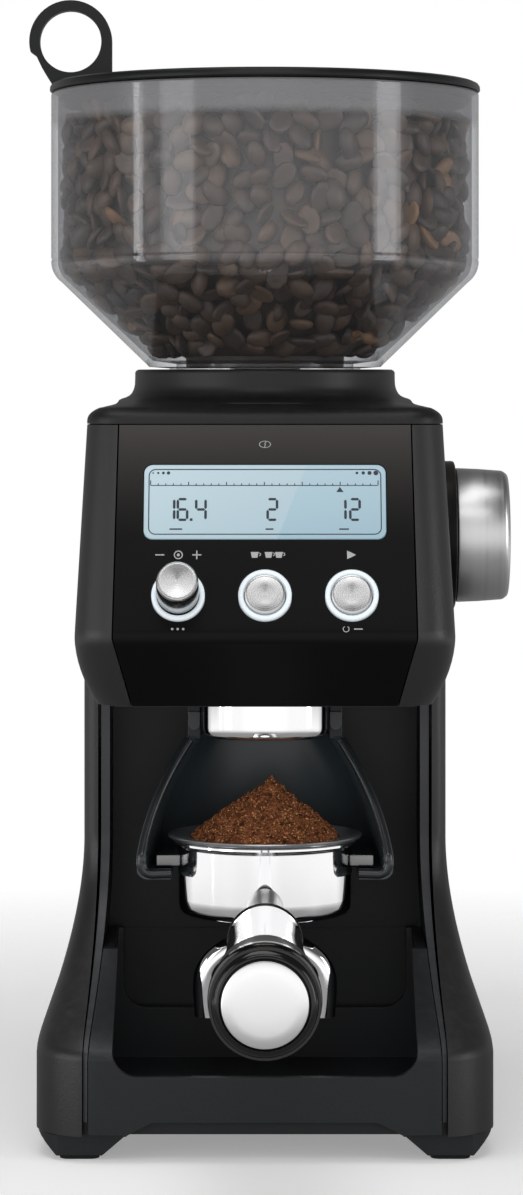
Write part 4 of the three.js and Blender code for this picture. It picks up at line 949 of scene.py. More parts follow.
rim, wall = hopper["rim"], hopper["wall"]
seamHeight = hopper["wallStart"] + 0.6
bowlSide = ([(hopper["neck"], hopper["neckBottom"]), (hopper["neck"], hopper["foot"] - 0.5)] + hopperSide(0)
            + [(75, seamHeight - 0.5), (74.6, seamHeight), (75, seamHeight + 0.5), (75, rim - 0.8), (74.6, rim - 0.2),
               (74.2, rim), (75 - wall + 0.4, rim), (75 - wall, rim - 0.5)]
            + hopperSide(wall)[::-1]
            + [(hopper["neck"] - wall, hopper["foot"] + 1), (hopper["neck"] - wall, hopper["neckBottom"])])
bowl = solid("hopper", lathe(bowlSide + [bowlSide[0]], 160))
finished(bowl, "bean_hopper", smokedPlastic, "hopper", sharp=28)

gate = {"radius": 30.5, "top": 251.5, "lockRadius": 13}
gatePlate = solid("hopperGate", rod(gate["radius"], gate["top"] - 2.4, gate["top"], 96))
window = [Vector(p) for p in ((4, -14), (26.5, -10), (26.5, 10), (4, 14))]
cut(gatePlate, slab(window, 240, 260), moved(slab(window, 240, 260), Matrix.Rotation(math.pi, 4, "Z")))
finished(gatePlate, "hopper_lock", nylonWhite, "hopper_gate", bevel=0.4)
lockSide = [(0, 251.8), (gate["lockRadius"], 251.8), (12.6, 256), (11.4, 265), (10.6, 265.5), (0, 265.5)]
lock = solid("hopperLock", lathe(lockSide, 72))
join(lock, block(-3, 3, -10, 10, 264.5, 285.5))
finished(lock, "hopper_lock", lidPlastic, "hopper_lock_knob", bevel=0.8)

beans = {"seed": 41, "length": 5.4, "width": 3.9, "thick": 2.7, "wallPitch": 7.6, "top": 345.0, "heap": 4.5,
         "pale": 0.035}


def beanShape(sides=10, rows=6):  # a half-round bean with a crease along its flat face
    points, faces = [Vector((0, 0, -1))], []
    for k in range(1, rows):
        tilt = math.pi * k / rows
        for i in range(sides):
            turn = math.tau * i / sides
            p = Vector((math.sin(tilt) * math.cos(turn), math.sin(tilt) * math.sin(turn), -math.cos(tilt)))
            flat = 0.45 if p.y < 0 else 1.0
            groove = 0.22 if p.y < -0.6 and abs(p.x) < 0.35 else 0.0
            points.append(Vector((p.x, p.y * flat + groove, p.z)))
    points.append(Vector((0, 0, 1)))
    last = len(points) - 1
    for i in range(sides):
        j = (i + 1) % sides
        faces.append([0, 1 + j, 1 + i])
        faces.append([last, last - sides + i, last - sides + j])
        for k in range(rows - 2):
            a = 1 + k * sides
            faces.append([a + i, a + j, a + sides + j, a + sides + i])
    return points, faces


def wallReach(z):  # the wall's inner radius at a height
    inside = hopperSide(wall + 0.3, 0.3)
    for (r0, z0), (r1, z1) in zip(inside, inside[1:]):
        if z < z1:
            return lerp(r0, r1, clamp((z - z0) / (z1 - z0)))
    return inside[-1][0]


def heldInside(bean):  # lifted off the foot and drawn in from the wall
    lift = max(0.0, hopper["foot"] + wall + 0.6 - min(p.z for p in bean))
    bean = [p + Vector((0, 0, lift)) for p in bean]
    middle = sum(bean, Vector()) / len(bean)
    over = max(math.hypot(p.x, p.y) - wallReach(p.z) for p in bean)
    if over > 0:
        shift = Vector((middle.x, middle.y, 0)).normalized() * over
        bean = [p - shift for p in bean]
    return bean


def makeBeans():
    rng = random.Random(beans["seed"])
    unit, unitFaces = beanShape()
    places = []
    inside = hopperSide(wall + beans["thick"] + 0.6, 1.4) + [(75 - wall - beans["thick"] - 0.6, beans["top"])]
    pitch = beans["wallPitch"]
    walked = 0.0
    for (r0, z0), (r1, z1) in zip(inside, inside[1:]):
        length = math.hypot(r1 - r0, z1 - z0)
        while walked < length:
            t = walked / length
            radius, height = lerp(r0, r1, t), lerp(z0, z1, t)
            count = int(math.tau * radius / (pitch * 1.06))
            shift = rng.random()
            for i in range(count):
                angle = math.tau * (i + shift + rng.uniform(-0.28, 0.28)) / count
                drop = rng.uniform(-1.6, 1.6)
                reach = radius - rng.uniform(0, 2.6)
                slope = Vector((z1 - z0, 0, -(r1 - r0))).normalized()
                outward = Vector((slope.x * math.cos(angle), slope.x * math.sin(angle), slope.z))
                places.append((Vector((reach * math.cos(angle), reach * math.sin(angle), height + drop)), outward))
            walked += pitch * 0.84
        walked -= length
    for ring in range(0, 9):
        radius = 66 - ring * 7.8
        for i in range(max(1, int(math.tau * max(radius, 1) / 8.4))):
            angle = math.tau * (i + rng.uniform(-0.3, 0.3)) / max(1, int(math.tau * max(radius, 1) / 8.4))
            reach = max(0.0, radius + rng.uniform(-2, 2))
            height = beans["top"] + beans["heap"] * (1 - (reach / 70) ** 2) + rng.uniform(-1.5, 1.2)
            places.append((Vector((reach * math.cos(angle), reach * math.sin(angle), height)), Vector((0, 0, 1))))
    points, faces, tones = [], [], []
    size = Vector((beans["width"], beans["thick"], beans["length"]))
    for place, outward in places:
        tilt = Vector((rng.gauss(0, 0.45), rng.gauss(0, 0.45), rng.gauss(0, 0.45)))
        face = (outward + tilt).normalized() * (1 if rng.random() < 0.6 else -1)
        turn = face.to_track_quat("Y", "Z").to_matrix() @ Matrix.Rotation(rng.uniform(0, math.tau), 3, "Y")
        grow = rng.uniform(0.86, 1.12)
        start = len(points)
        bean = [place + turn @ (Vector((p.x * size.x, p.y * size.y, p.z * size.z)) * grow) for p in unit]
        points += heldInside(bean)
        faces += [[start + i for i in f] for f in unitFaces]
        tone = 1.0 if rng.random() < beans["pale"] else rng.random() ** 2 * 0.32
        tones += [tone] * len(unit)
    mesh = bpy.data.meshes.new("beanPile")
    mesh.from_pydata([toRow @ (p * mm) for p in points], [], faces)
    layer = mesh.attributes.new("beanTone", "FLOAT", "POINT")
    layer.data.foreach_set("value", tones)
    pile = bpy.data.objects.new("beanPile", mesh)
    bpy.context.scene.collection.objects.link(pile)
    return finished(pile, "bean_hopper", beanBrown, sharp=0)


makeBeans()
core = [(0, 288), (17, 286), (17, 258), (27.6, 258), (27.8, 262)]
core += [(r - 4.6, z + 3.6) for r, z in hopperSide(wall + 2.0)]
core += [(63.5, 341), (40, 345), (0, 346.5)]
beanCore = solid("beanCore", lathe(core, 72))
finished(beanCore, "bean_hopper", beanBrown, "bean_fill", sharp=50)

lid = {"skirt": 70.6, "loopX": -68.2, "loop": 14.5, "hole": 10.8, "thick": 5.5}
lidLow, lidTop = rim + 0.3, rim + 3.7
lidSide = [(0, lidTop + 0.6), (45, lidTop + 0.4), (70, lidTop), (73.6, lidTop - 0.3), (74.9, lidTop - 0.9),
           (75.4, lidTop - 1.8), (75.5, lidLow + 0.5), (75.1, lidLow), (lid["skirt"], lidLow),
            (lid["skirt"], lidLow - 5), (68.2, lidLow - 5),
           (68.2, lidTop - 2.6), (0, lidTop - 2.2)]
lidCap = solid("lid", lathe(lidSide, 160))
loopZ = lidTop + lid["loop"]
arch = [(lid["loopX"] + lid["loop"], lidTop - 1)]
arch += [(lid["loopX"] + lid["loop"] * math.cos(a), loopZ + lid["loop"] * math.sin(a))
         for a in spread(0, math.pi * 1.08, 30)]
arch += [(-80.2, lidTop + 9.4), (-78.2, lidTop + 5.2), (-76.2, lidTop + 1.8), (-74.4, lidTop - 1)]
loop = solid("loop", at(upright(slab([Vector(p) for p in arch], -lid["thick"] / 2, lid["thick"] / 2))))
cut(loop, at(upright(rod(lid["hole"], -20, 20, 72)), lid["loopX"], 0, loopZ))
join(lidCap, asShape(loop))
finished(lidCap, "hopper_lid", lidPlastic, "lid", bevel=0.9, segments=4)
sealTurns = [math.tau * i / 120 for i in range(120)]
sealPath = [(71.65 * math.cos(a), 71.65 * math.sin(a), lidLow - 2.4) for a in sealTurns]
seal = solid("lidSeal", tube(sealPath, 0.75, 10, closed=True))
finished(seal, "hopper_lid", rubberBlack, "lid_seal", sharp=0)
print("hopper made")

# ---- display and its marks


def makeLensMaterial():  # a pale lit crystal display, paler towards the top, with a painted reflection: paler left of a slanting line and darker towards the right
    material, g, surface = newMaterial("displayBlue")
    place = g.add("SeparateXYZ", {"Vector": g.add("TexCoord").outputs["Object"]})
    across = g.ramp(place.outputs["X"], -0.04, 0.04)
    rise = g.ramp(place.outputs["Z"], 0.2, 0.2265)
    tone = g.mixColor(rise, (0.36, 0.58, 0.69, 1), (0.50, 0.72, 0.82, 1))
    # painted reflection: the part left of a slanting line is paler and the right side is darker
    slant = g.math("ADD", place.outputs["X"], g.math("MULTIPLY", place.outputs["Z"], -0.4))
    paintedReflection = g.ramp(slant, -0.0760, -0.0768)
    tone = g.mixColor(g.math("MULTIPLY", paintedReflection, 0.3), tone, (0.72, 0.82, 0.86, 1))
    tone = g.mixColor(g.math("MULTIPLY", across, 0.3), tone, (0.2, 0.36, 0.48, 1))
    g.set(surface, "Base Color", g.mixColor(0.6, tone, (0.02, 0.02, 0.02, 1)))
    g.set(surface, "Emission Color", tone)
    g.set(surface, "Emission Strength", 0.38)
    g.set(surface, "Roughness", 0.3)
    g.set(surface, "Coat Weight", 0.7)
    g.set(surface, "Coat Roughness", 0.05)
    return material


lensOutline = [Vector(p) for p in roundedRect(display["width"], display["height"], display["radius"])]
lens = solid("displayLens", onPanel(slab(lensOutline, -2, display["lensTop"]), v=display["centre"]))
finished(lens, "casing", makeLensMaterial(), "display_lens", bevel=0.2, segments=2)

# which of the seven bars each digit lights: top, upper right, lower right, bottom, lower left, upper left, middle
segments = {
    "1": (1, 2), "2": (0, 1, 3, 4, 6), "4": (1, 2, 5, 6), "6": (0, 2, 3, 4, 5, 6)}


def bar(x0, v0, x1, v1, thick):  # a bar with pointed ends
    a, b = Vector((x0, v0)), Vector((x1, v1))
    along = (b - a).normalized() * thick / 2
    side = Vector((-along.y, along.x))
    return [a, a + along + side, b - along + side, b, b - along - side, a + along - side]


def rectangle(x0, x1, v0, v1):
    return [Vector(p) for p in ((x0, v0), (x1, v0), (x1, v1), (x0, v1))]


def ringOf(cx, cv, outer, inner, start=0, end=360, sides=28):  # quads round an arc
    quads = []
    for i in range(sides):
        a, b = (math.radians(lerp(start, end, k / sides)) for k in (i, i + 1))
        quads.append([Vector((cx + r * math.cos(t), cv + r * math.sin(t))) for r, t in
                      ((outer, a), (outer, b), (inner, b), (inner, a))])
    return quads


def disc(cx, cv, radius, sides=24, squash=1.0):
    return [Vector((cx + radius * math.cos(math.tau * i / sides), cv + radius * squash * math.sin(math.tau * i / sides)))
            for i in range(sides)]


def digitBars(digit, x, v, width, height, thick):
    gap = 0.14
    half = height / 2
    ends = [((0, height), (width, height)), ((width, height), (width, half)), ((width, half), (width, 0)),
            ((0, 0), (width, 0)), ((0, half), (0, 0)), ((0, height), (0, half)), ((0, half), (width, half))]
    bars = []
    for lit in segments[digit]:
        a, b = (Vector((x + p[0], v + p[1])) for p in ends[lit])
        step = (b - a).normalized() * gap
        bars.append(bar(*(a + step), *(b - step), thick))
    return bars


marks = {"lift": 0.02, "thick": 0.04}


def flatMarks(name, outlines, out, material, body="casing"):
    shapes = [onPanel(slab(outline, out + marks["lift"], out + marks["lift"] + marks["thick"])) for outline in outlines]
    return finished(solid(name, merged(*shapes)), body, material, sharp=30)


def makeDisplayMarks():
    shapes = []
    for digit, x in (("1", -33.2), ("6", -28.9), ("4", -22.8)):
        shapes += digitBars(digit, x, 41.2, 3.1, 7.2, 0.85)
    shapes.append(rectangle(-24.9, -24.0, 40.8, 41.7))
    shapes += digitBars("2", 0.9, 41.2, 3.1, 7.2, 0.85)
    for digit, x in (("1", 23.6), ("2", 28.3)):
        shapes += digitBars(digit, x, 41.2, 3.1, 7.2, 0.85)
    scaleLow, scaleHigh, scaleV = -38.0, 37.6, 53.3
    shapes.append(rectangle(scaleLow, scaleHigh, scaleV - 0.22, scaleV + 0.05))
    for i in range(31):
        x = lerp(scaleLow, scaleHigh, i / 30)
        tall = 1.7 if i % 30 == 0 else (1.15 if i % 5 == 0 else 0.6)
        shapes.append(rectangle(x - 0.16, x + 0.16, scaleV, scaleV + tall))
    shapes.append([Vector((24.9, scaleV - 0.6)), Vector((23.7, scaleV - 2.4)), Vector((26.1, scaleV - 2.4))])
    for x, span in ((-31.6, 4.2), (0.2, 2.6), (24.6, 3.2)):
        shapes.append(rectangle(x, x + span, 37.7, 38.2))
    for i in range(4):  # coarseness dots, fine at the left and coarse at the right
        shapes.append(disc(-37.2 + i * 1.7, 57.6, 0.28 + 0.1 * i, 12))
        shapes.append(disc(30.6 + i * 2.1, 57.6, 0.45 + 0.12 * i, 14))
    flatMarks("displayMarks", shapes, display["lensTop"], inkNavy)
    frameOutline = roundedRect(77.4, 23.0, 2.4, 6)
    inner = roundedRect(76.7, 22.3, 2.05, 6)
    quads = [[Vector(frameOutline[i]), Vector(frameOutline[j]), Vector(inner[j]), Vector(inner[i])]
             for i, j in ((k, (k + 1) % len(inner)) for k in range(len(inner)))]
    quads = [[p + Vector((0, display["centre"])) for p in q] for q in quads]
    flatMarks("displayBorder", quads, display["lensTop"], inkNavy)


makeDisplayMarks()


def makePanelMarks():
    shapes = []
    x = -keys["pitch"]
    shapes += ringOf(x, 28.9, 1.5, 1.15)
    shapes.append(disc(x, 28.9, 0.5))
    shapes.append(rectangle(x - 7.6, x - 4.6, 28.7, 29.1))
    shapes.append(rectangle(x + 4.6, x + 7.6, 28.7, 29.1))
    shapes.append(rectangle(x + 5.9, x + 6.3, 27.4, 30.4))
    for cx in (-3.4, 2.2):  # a single and a double measure
        for shift in ((0,) if cx < 0 else (-1.0, 2.4)):
            c = cx + shift
            shapes.append([Vector((c + across, up)) for across, up in
                           ((-1.3, 29.9), (-0.9, 27.9), (0.9, 27.9), (1.3, 29.9))])
            shapes += ringOf(c + 1.45, 29.1, 0.62, 0.36, -90, 90, 10)
    shapes.append([Vector((27.1, 27.4)), Vector((30.1, 28.9)), Vector((27.1, 30.4))])
    for i in range(3):
        shapes.append(disc(-keys["pitch"] - 1.8 + 1.8 * i, 3.4, 0.42, 14))
    shapes += ringOf(keys["pitch"] - 2.0, 3.4, 1.1, 0.84, 120, 420, 18)
    shapes.append(rectangle(keys["pitch"] + 0.6, keys["pitch"] + 3.4, 3.2, 3.6))
    emblem = ringOf(0, 0, 2.0, 1.72, 0, 360, 30)
    shapes += [[Vector((p.x, p.y * 0.62 + 67.6)) for p in q] for q in emblem]
    shapes += [[Vector((s * 0.3, 67.6 + t)), Vector((s * 0.3 + 0.26, 67.6 + t)), Vector((0.13 - s * 0.2, 67.6)),
                Vector((-0.13 - s * 0.2, 67.6))] for s, t in ((1, 1.0), (-1, -1.0))]
    flatMarks("panelMarks", shapes, 0, markGrey)


makePanelMarks()

# ---- keys, knob and their light rings

panelNormal = Vector((0, -math.cos(lean), math.sin(lean)))
ringSide = [(7.05, -2.6), (8.8, -2.6), (8.8, 0.15), (8.6, 0.55), (8.2, 0.8), (7.5, 0.85), (7.2, 0.7), (7.05, 0.4)]
keySide = [(0, -9), (2, -9), (2, -2.4), (keys["radius"], -2.4), (keys["radius"], 0.9), (6.6, 1.25), (6.2, 1.45),
           (5.8, 1.5), (3, 1.42), (0, 1.38)]
knobSide = [(0, 12.3), (2.9, 12.3), (2.9, 2.1), (6.9, 2.1), (7, 2.4), (6.95, 9), (6.9, 14.6), (6.75, 15.25),
            (6.4, 15.7),
            (5.9, 15.85), (5.6, 15.8), (0, 15.7)]
for index, name in enumerate(("amount", "shots", "start")):
    x = (index - 1) * keys["pitch"]
    ring = solid(name + "Light", onPanel(lathe(ringSide + [ringSide[0]], 96), x, keys["height"]))
    finished(ring, "casing", lampWhite, name + "_light_ring", sharp=50)
    centre = panelMatrix @ Vector((x, keys["height"], 0))
    spunCap = spunMetal(name + "Spun", gray(0.56), 0.24, centre, panelNormal, 0.75, 0.00035, 0.06)
    if name == "amount":
        knob = solid("amountKnob", onPanel(lathe(knobSide, 96), x, keys["height"]))
        finished(knob, "amount_dial", spunCap, "amount_knob", sharp=35)
    else:
        key = solid(name + "Key", onPanel(lathe(keySide, 96), x, keys["height"]))
        finished(key, name + "_key", spunCap, name + "_button", sharp=35)
print("panel fittings made")

# ---- grind size dial

dial = {"start": 66.8, "length": 18.2, "radius": 23.5, "bezel": 26, "bezelFace": 66.5}
dialEnd = dial["start"] + dial["length"]
dialSide = [(0, dial["start"] + 10.3), (3.3, dial["start"] + 10.3), (3.3, dial["start"]), (22.9, dial["start"]),
            (23.4, dial["start"] + 0.25), (dial["radius"], dial["start"] + 0.8), (23.2, dial["start"] + 8), (22.6, dialEnd - 2.2),
            (22.35, dialEnd - 1.5), (21.4, dialEnd - 0.25), (20.9, dialEnd), (20.2, dialEnd + 0.02), (19.8, dialEnd - 0.1),
            (12, dialEnd + 0.2), (0, dialEnd + 0.5)]
dialCentre = (dial["start"], 0, dialHeight)
dialSpun = spunMetal("dialSpun", gray(0.66, (1, 1, 1.01)), 0.28, dialCentre, (1, 0, 0), 0.55, 0.0003, 0.08)
dialBody = solid("grindDial", at(onX(lathe(dialSide, 160)), z=dialHeight))
finished(dialBody, "dial", dialSpun, "grind_dial", sharp=30)
bezelSide = [(0, 50), (dial["bezel"], 50), (dial["bezel"], dial["bezelFace"] - 0.9), (25.7, dial["bezelFace"] - 0.3),
             (25, dial["bezelFace"]), (0, dial["bezelFace"])]
bezel = solid("dialBezel", at(onX(lathe(bezelSide, 128)), z=dialHeight))
cut(bezel, columnForm(-0.3), headForm(-0.3), at(onX(rod(6, 0, 100)), z=dialHeight))
finished(bezel, "casing", panelPlastic, "dial_bezel", sharp=35)
print("dial made")

# ---- outlet and cradle

outletY = -45.0
shroud = {"radius": 21, "low": 133.2, "tall": 12}
shroudSide = [(shroud["radius"] + x, shroud["low"] + z) for x, z in
              ((-2.9, 0.2), (-2.2, 0), (-1.4, 0.25), (-0.75, 0.8), (-0.25, 1.7), (-0.05, 2.8), (0, 4),
               (0, shroud["tall"]),
               (-2.4, shroud["tall"]), (-2.4, 2.6), (-2.7, 1.2), (-3.1, 0.6))]


def squared(shape, power=0.7):  # a round shape pressed towards a square, about Z
    points, faces = shape
    pressed = []
    for p in points:
        r = math.hypot(p.x, p.y)
        pressed.append(Vector((*(r * math.copysign(abs(v / r) ** power, v) for v in (p.x, p.y)), p.z)))
    return pressed, faces


outlet = solid("outletShroud", at(squared(lathe(shroudSide + [shroudSide[0]], 160)), y=outletY))
cut(outlet, block(-99, 99, outletY + 7, 99, 0, 300))
finished(outlet, "casing", chrome, "outlet_shroud", sharp=35)

cradle = {"back": -6, "half": 43, "topHalf": 26.6, "top": 132, "start": 93.5, "hinge": -32, "shelf": 89.2, "low": 86.2,
          "wall": 3, "hook": 31.5, "rim": 1.75, "postInner": 22, "postOuter": 26.5}


def cradleRise(z):
    return clamp((z - cradle["start"]) / (cradle["top"] - cradle["start"]))


def cradleHalfAt(z):
    up = cradleRise(z)
    return lerp(cradle["half"], cradle["topHalf"], 0.35 * up + 0.65 * up * up)


def cradleFrontAt(z):
    return lerp(outletY - 14, cradle["hinge"] - 2, cradleRise(z))


def cradleRing(z, height, inset, reach, power=0.6):
    half, rearHalf = cradleHalfAt(z) - inset, cradleHalfAt(z) * 0.93 - inset
    front, depth = cradleFrontAt(z), cradle["back"] - inset - cradle["hinge"]
    ring = [(half, front - reach, height), (half, front, height)]
    for angle in spread(0, math.pi, 36):
        c, s = math.cos(angle), math.sin(angle)
        ring.append((rearHalf * math.copysign(abs(c) ** power, c), cradle["hinge"] + depth * abs(s) ** power, height))
    return ring + [(-half, front, height), (-half, front - reach, height)]


levels = spread(cradle["shelf"], cradle["top"], 24)
fork = solid("cradle", loft(
    [cradleRing(cradle["low"], cradle["low"], 3, 0.01), cradleRing(cradle["low"], cradle["low"] + 0.4, 1.9, 0.01),
     cradleRing(cradle["low"], cradle["low"] + 1.1, 0.9, 0.01), cradleRing(cradle["low"], cradle["low"] + 2, 0.2, 0.01)]
    + [cradleRing(z, z, 0, 0.01) for z in levels]))
cut(fork, loft([cradleRing(z, z, cradle["wall"], 30) for z in levels]
               + [cradleRing(cradle["top"], cradle["top"] + 1, cradle["wall"], 30)]),
    block(-cradle["hook"], cradle["hook"], -far, -12.1, 0, cradle["shelf"] + 1))
postFront, postLow = cradle["hinge"] - 2, cradle["top"] - 1.2
post = block(-cradle["postOuter"], -cradle["postInner"], postFront, postFront + 16, postLow, 145.2)
posts = solid("cradlePosts", post)
join(posts, flipped(post))
finished(posts, "fork", bayPlastic, bevel=0.5)
cut(fork, at(upright(rod(7, 0, 30)), y=5, z=96.5))
finished(fork, "fork", cradlePlastic, "cradle", bevel=0.8)
rimLevels = spread(cradle["low"] + 2.2, cradle["top"] - 1.5, 34)
rimPath = [(cradleHalfAt(z) - 1.5, cradleFrontAt(z) + 0.9, z) for z in rimLevels]
rimEnd = [(cradle["hook"] + t * (cradle["half"] - 4.6 - cradle["hook"]), outletY - 13.1, cradle["low"] + 1.8 - 0.15 * t)
          for t in spread(0, 1, 5)]
rimPath = curveThrough(rimEnd + [(cradle["half"] - 2.4, outletY - 13.1, cradle["low"] + 2.6)] + rimPath[2:], 2)
for sign, name in ((1, "cradleRimRight"), (-1, "cradleRimLeft")):
    bead = tube([(p[0] * sign, p[1], p[2]) for p in rimPath], cradle["rim"], 16)
    finished(solid(name, bead), "fork", rimPlastic, sharp=60)
for sign, name in ((1, "postTabRight"), (-1, "postTabLeft")):
    outline = [Vector((sign * 24.2 + 2.1 * math.cos(a), 136.4 - 2.6 * math.sin(a))) for a in spread(0, math.pi, 14)]
    outline = [Vector((sign * 24.2 + 2.1, 140.5))] + outline + [Vector((sign * 24.2 - 2.1, 140.5))]
    tab = solid(name, at(upright(slab(outline, 0, 1.2)), y=cradle["hinge"] - 1.6))
    finished(tab, "fork", trimPlastic, bevel=0.3)

plungerSide = [(0, -13.4), (7, -13.4), (7, -11), (5, -11), (5, 11.5), (4.7, 12.0), (0, 12.1)]
plunger = solid("startPlunger", at(upright(lathe(plungerSide, 48)), z=96.5))
finished(plunger, "plunger", trimPlastic, "start_plunger", bevel=0.2)
print("outlet and cradle made")

# ---- filter holder

holder = {"rimTop": 98.5, "low": 73, "start": -74.5, "end": -225, "drop": -1, "axis": 70.5, "neck": 18, "ferrule": 115}
tilt = math.atan2(holder["drop"], holder["start"] - holder["end"])
handleLength = math.hypot(holder["start"] - holder["end"], holder["drop"])
handleMatrix = (Matrix.Translation((0, holder["start"], holder["axis"]))
                @ Matrix.Rotation(math.radians(90) + tilt, 4, "X"))


def onHandle(profile, sides=112):
    return moved(lathe(profile, sides), handleMatrix)


top, low = holder["rimTop"], holder["low"]
headSide = [(0, low), (25.8, low), (27.2, low + 0.25), (28.4, low + 0.9), (29.1, low + 1.9), (29.4, low + 3.4),
            (29.5, low + 6),
            (29.5, top - 2.6), (29.8, top - 2.1), (30.5, top - 1.7), (31.2, top - 1.5), (31.5, top - 1.1),
            (31.5, top - 0.4),
            (31.2, top), (26.8, top), (26.5, top - 0.3), (26.5, low + 4),
            (0, low + 3)]
head = solid("portafilterHead", at(lathe(headSide, 144), y=outletY))
neckPath = curveThrough([(-71, 78.6, 6.4, 7.6), (-76, 76.9, 6.2, 7.8), (-81, 74.4, 6.4, 7.9), (-86, 72.2, 7.4, 8.2),
                         (-89.5, 71, 8.9, 9.1), (-91.4, 70.6, 10.2, 10.2), (-92.2, 70.6, 10.7, 10.7)], 4)
neckTurns = spread(0, math.tau * 71 / 72, 71)
neckRings = [[(w * math.cos(a), y, z + h * math.sin(a)) for a in neckTurns] for y, z, w, h in neckPath]
cut(head, at(rod(26.5, low + 4, top + 9, 144), y=outletY), at(rod(4, low - 1, low + 10, 48), y=outletY))
finished(head, "filter_holder", chrome, "portafilter_head", bevel=0.35)
finished(solid("handleNeck", loft(neckRings)), "filter_holder", castMetal, sharp=50)
lug = block(-36.9, -28.5, outletY - 9, outletY + 9, top - 8.8, top - 4.6)
lugs = solid("bayonetLugs", lug)
join(lugs, flipped(lug))
cut(lugs, at(rod(29.6, low, top, 144), y=outletY))
# the lugs take the darkened steel: painted shade for chrome reflecting the dark bay
finished(lugs, "filter_holder", paintedShadeSteel, sharp=35, bevel=0.7)

basketSide = [(26.2, low + 6), (26.2, top + 0.15), (30.4, top + 0.15), (32, top + 0.3), (32.7, top + 0.7),
              (32.9, top + 1.2),
              (32.7, top + 1.6), (32.2, top + 1.7), (31.4, top + 1.5), (28.6, top + 0.95), (26.4, top + 0.75),
              (25.5, top + 0.5),
              (25.2, top), (25.2, low + 7), (3, low + 7), (3, low + 6)]
basket = solid("filterBasket", at(lathe(basketSide + [basketSide[0]], 128), y=outletY))
finished(basket, "filter_holder", steel, "filter_basket", sharp=35)

heap = {"radius": 25.0, "top": 119.2, "base": 80.5, "lean": 2.2, "seed": 12, "crumbs": 2400}


def heapHeight(x, y):  # the loose cone's surface
    out = clamp(math.hypot(x, y) / heap["radius"])
    t = clamp(math.hypot(x - heap["lean"] * (1 - out), y) / heap["radius"])
    high = lerp(heap["top"], top + 1.2, t ** 0.82) + 1.9 * math.sin(math.pi * min(t * 1.1, 1)) * 0.6
    place = Vector((x, y, 0)) * 0.13
    high += 0.7 * noise.noise(place) + 0.45 * noise.noise(place * 3.1) + 0.35 * noise.noise(place * 8)
    return high - max(0, t - 0.94) * 22


def makeHeap():
    rows, sides = 44, 132
    points, faces = [Vector((0, 0, heapHeight(0, 0)))], []
    for k in range(1, rows + 1):
        r = heap["radius"] * k / rows
        for i in range(sides):
            a = math.tau * i / sides
            x, y = r * math.cos(a), r * math.sin(a)
            points.append(Vector((x, y, heapHeight(x, y))))
    lowStart = len(points)
    points += [Vector((p.x, p.y, heap["base"])) for p in points[-sides:]]
    faces += [[0, 1 + i, 1 + (i + 1) % sides] for i in range(sides)]
    for k in range(rows):
        a = 1 + k * sides
        faces += [[a + i, a + sides + i, a + sides + (i + 1) % sides, a + (i + 1) % sides] for i in range(sides)]
    faces.append(list(range(lowStart, lowStart + sides))[::-1])
    rng = random.Random(heap["seed"])
    corners = [Vector(p).normalized() for p in ((1, 1, 1), (-1, -1, 1), (-1, 1, -1), (1, -1, -1))]
    hull = [[0, 1, 2], [0, 3, 1], [0, 2, 3], [1, 3, 2]]
    for _ in range(heap["crumbs"]):
        r = heap["radius"] * 0.985 * math.sqrt(rng.random())
        a = rng.uniform(0, math.tau)
        x, y = r * math.cos(a), r * math.sin(a)
        size = rng.choice((0.4, 0.55, 0.7, 0.95))
        spin = Vector((rng.gauss(0, 1), rng.gauss(0, 1), rng.gauss(0, 1))).to_track_quat("X", "Z").to_matrix()
        start = len(points)
        place = Vector((x, y, heapHeight(x, y) + size * 0.2))
        points += [place + spin @ (c * size) for c in corners]
        faces += [[start + i for i in f] for f in hull]
    mesh = bpy.data.meshes.new("groundHeap")
    shift = Vector((0, outletY, 0))
    mesh.from_pydata([toRow @ ((p + shift) * mm) for p in points], [], faces)
    obj = bpy.data.objects.new("groundHeap", mesh)
    bpy.context.scene.collection.objects.link(obj)
    return finished(obj, "filter_holder", groundBrown, "ground_coffee", sharp=50)


makeHeap()

bulge = handleLength - 14
ringStart, ferruleStart, start = holder["neck"], holder["neck"] + 4, holder["ferrule"]
ringSide = [(0, ringStart), (10.8, ringStart), (11.9, ringStart + 0.4), (12.5, ringStart + 1.3),
            (12.6, ringStart + 2.4),
            (12.2, ringStart + 3.4), (11.6, ringStart + 3.7), (0, ringStart + 3.7)]
finished(solid("handleSeal", onHandle(ringSide)), "filter_holder", glossBlack, sharp=50)
ferruleSide = [(0, ferruleStart), (11.2, ferruleStart), (11.9, ferruleStart + 0.5)] + curveThrough(
    [(12.2, ferruleStart + 1.4), (12.1, ferruleStart + 12), (12.9, lerp(ferruleStart, start, 0.5)),
     (15.1, start - 1.2)], 6)
ferruleSide += [(14.9, start - 0.3), (0, start - 0.3)]
finished(solid("handleFerrule", onHandle(ferruleSide)), "filter_holder", chrome, sharp=40)
gripSide = [(0, start), (14.8, start)] + curveThrough(
    [(15.5, start + 0.6), (15.8, start + 2.6), (16.1, lerp(start, bulge, 0.5)), (16.6, bulge - 3), (16.8, bulge)], 6)
gripSide += [(16.5, bulge + 0.5), (16.5, handleLength - 2.5), (0, handleLength - 2.5)]
gripBody = solid("handleGrip", onHandle(gripSide))
finished(gripBody, "filter_holder", gripPlastic, "handle_grip", sharp=50)
glossSide = [(13.2, handleLength - 2.4), (13.3, handleLength - 0.9), (13.7, handleLength - 0.45),
             (14.3, handleLength - 0.5),
             (15.2, handleLength - 1.3), (16.2, handleLength - 3.2), (16.8, handleLength - 6.2), (16.95, bulge + 4),
             (16.95, bulge + 0.8), (16.7, bulge + 0.55), (16.55, bulge + 0.55), (16.55, handleLength - 2.4)]
glossEnd = solid("handleRing", onHandle(glossSide + [glossSide[0]]))
finished(glossEnd, "filter_holder", glossBlack, sharp=50)
capSide = [(0, handleLength - 2.1), (13, handleLength - 2.1), (13, handleLength - 0.8), (12.8, handleLength - 0.35),
           (12.3, handleLength - 0.12), (9, handleLength + 0.12), (5, handleLength + 0.22), (0, handleLength + 0.26)]
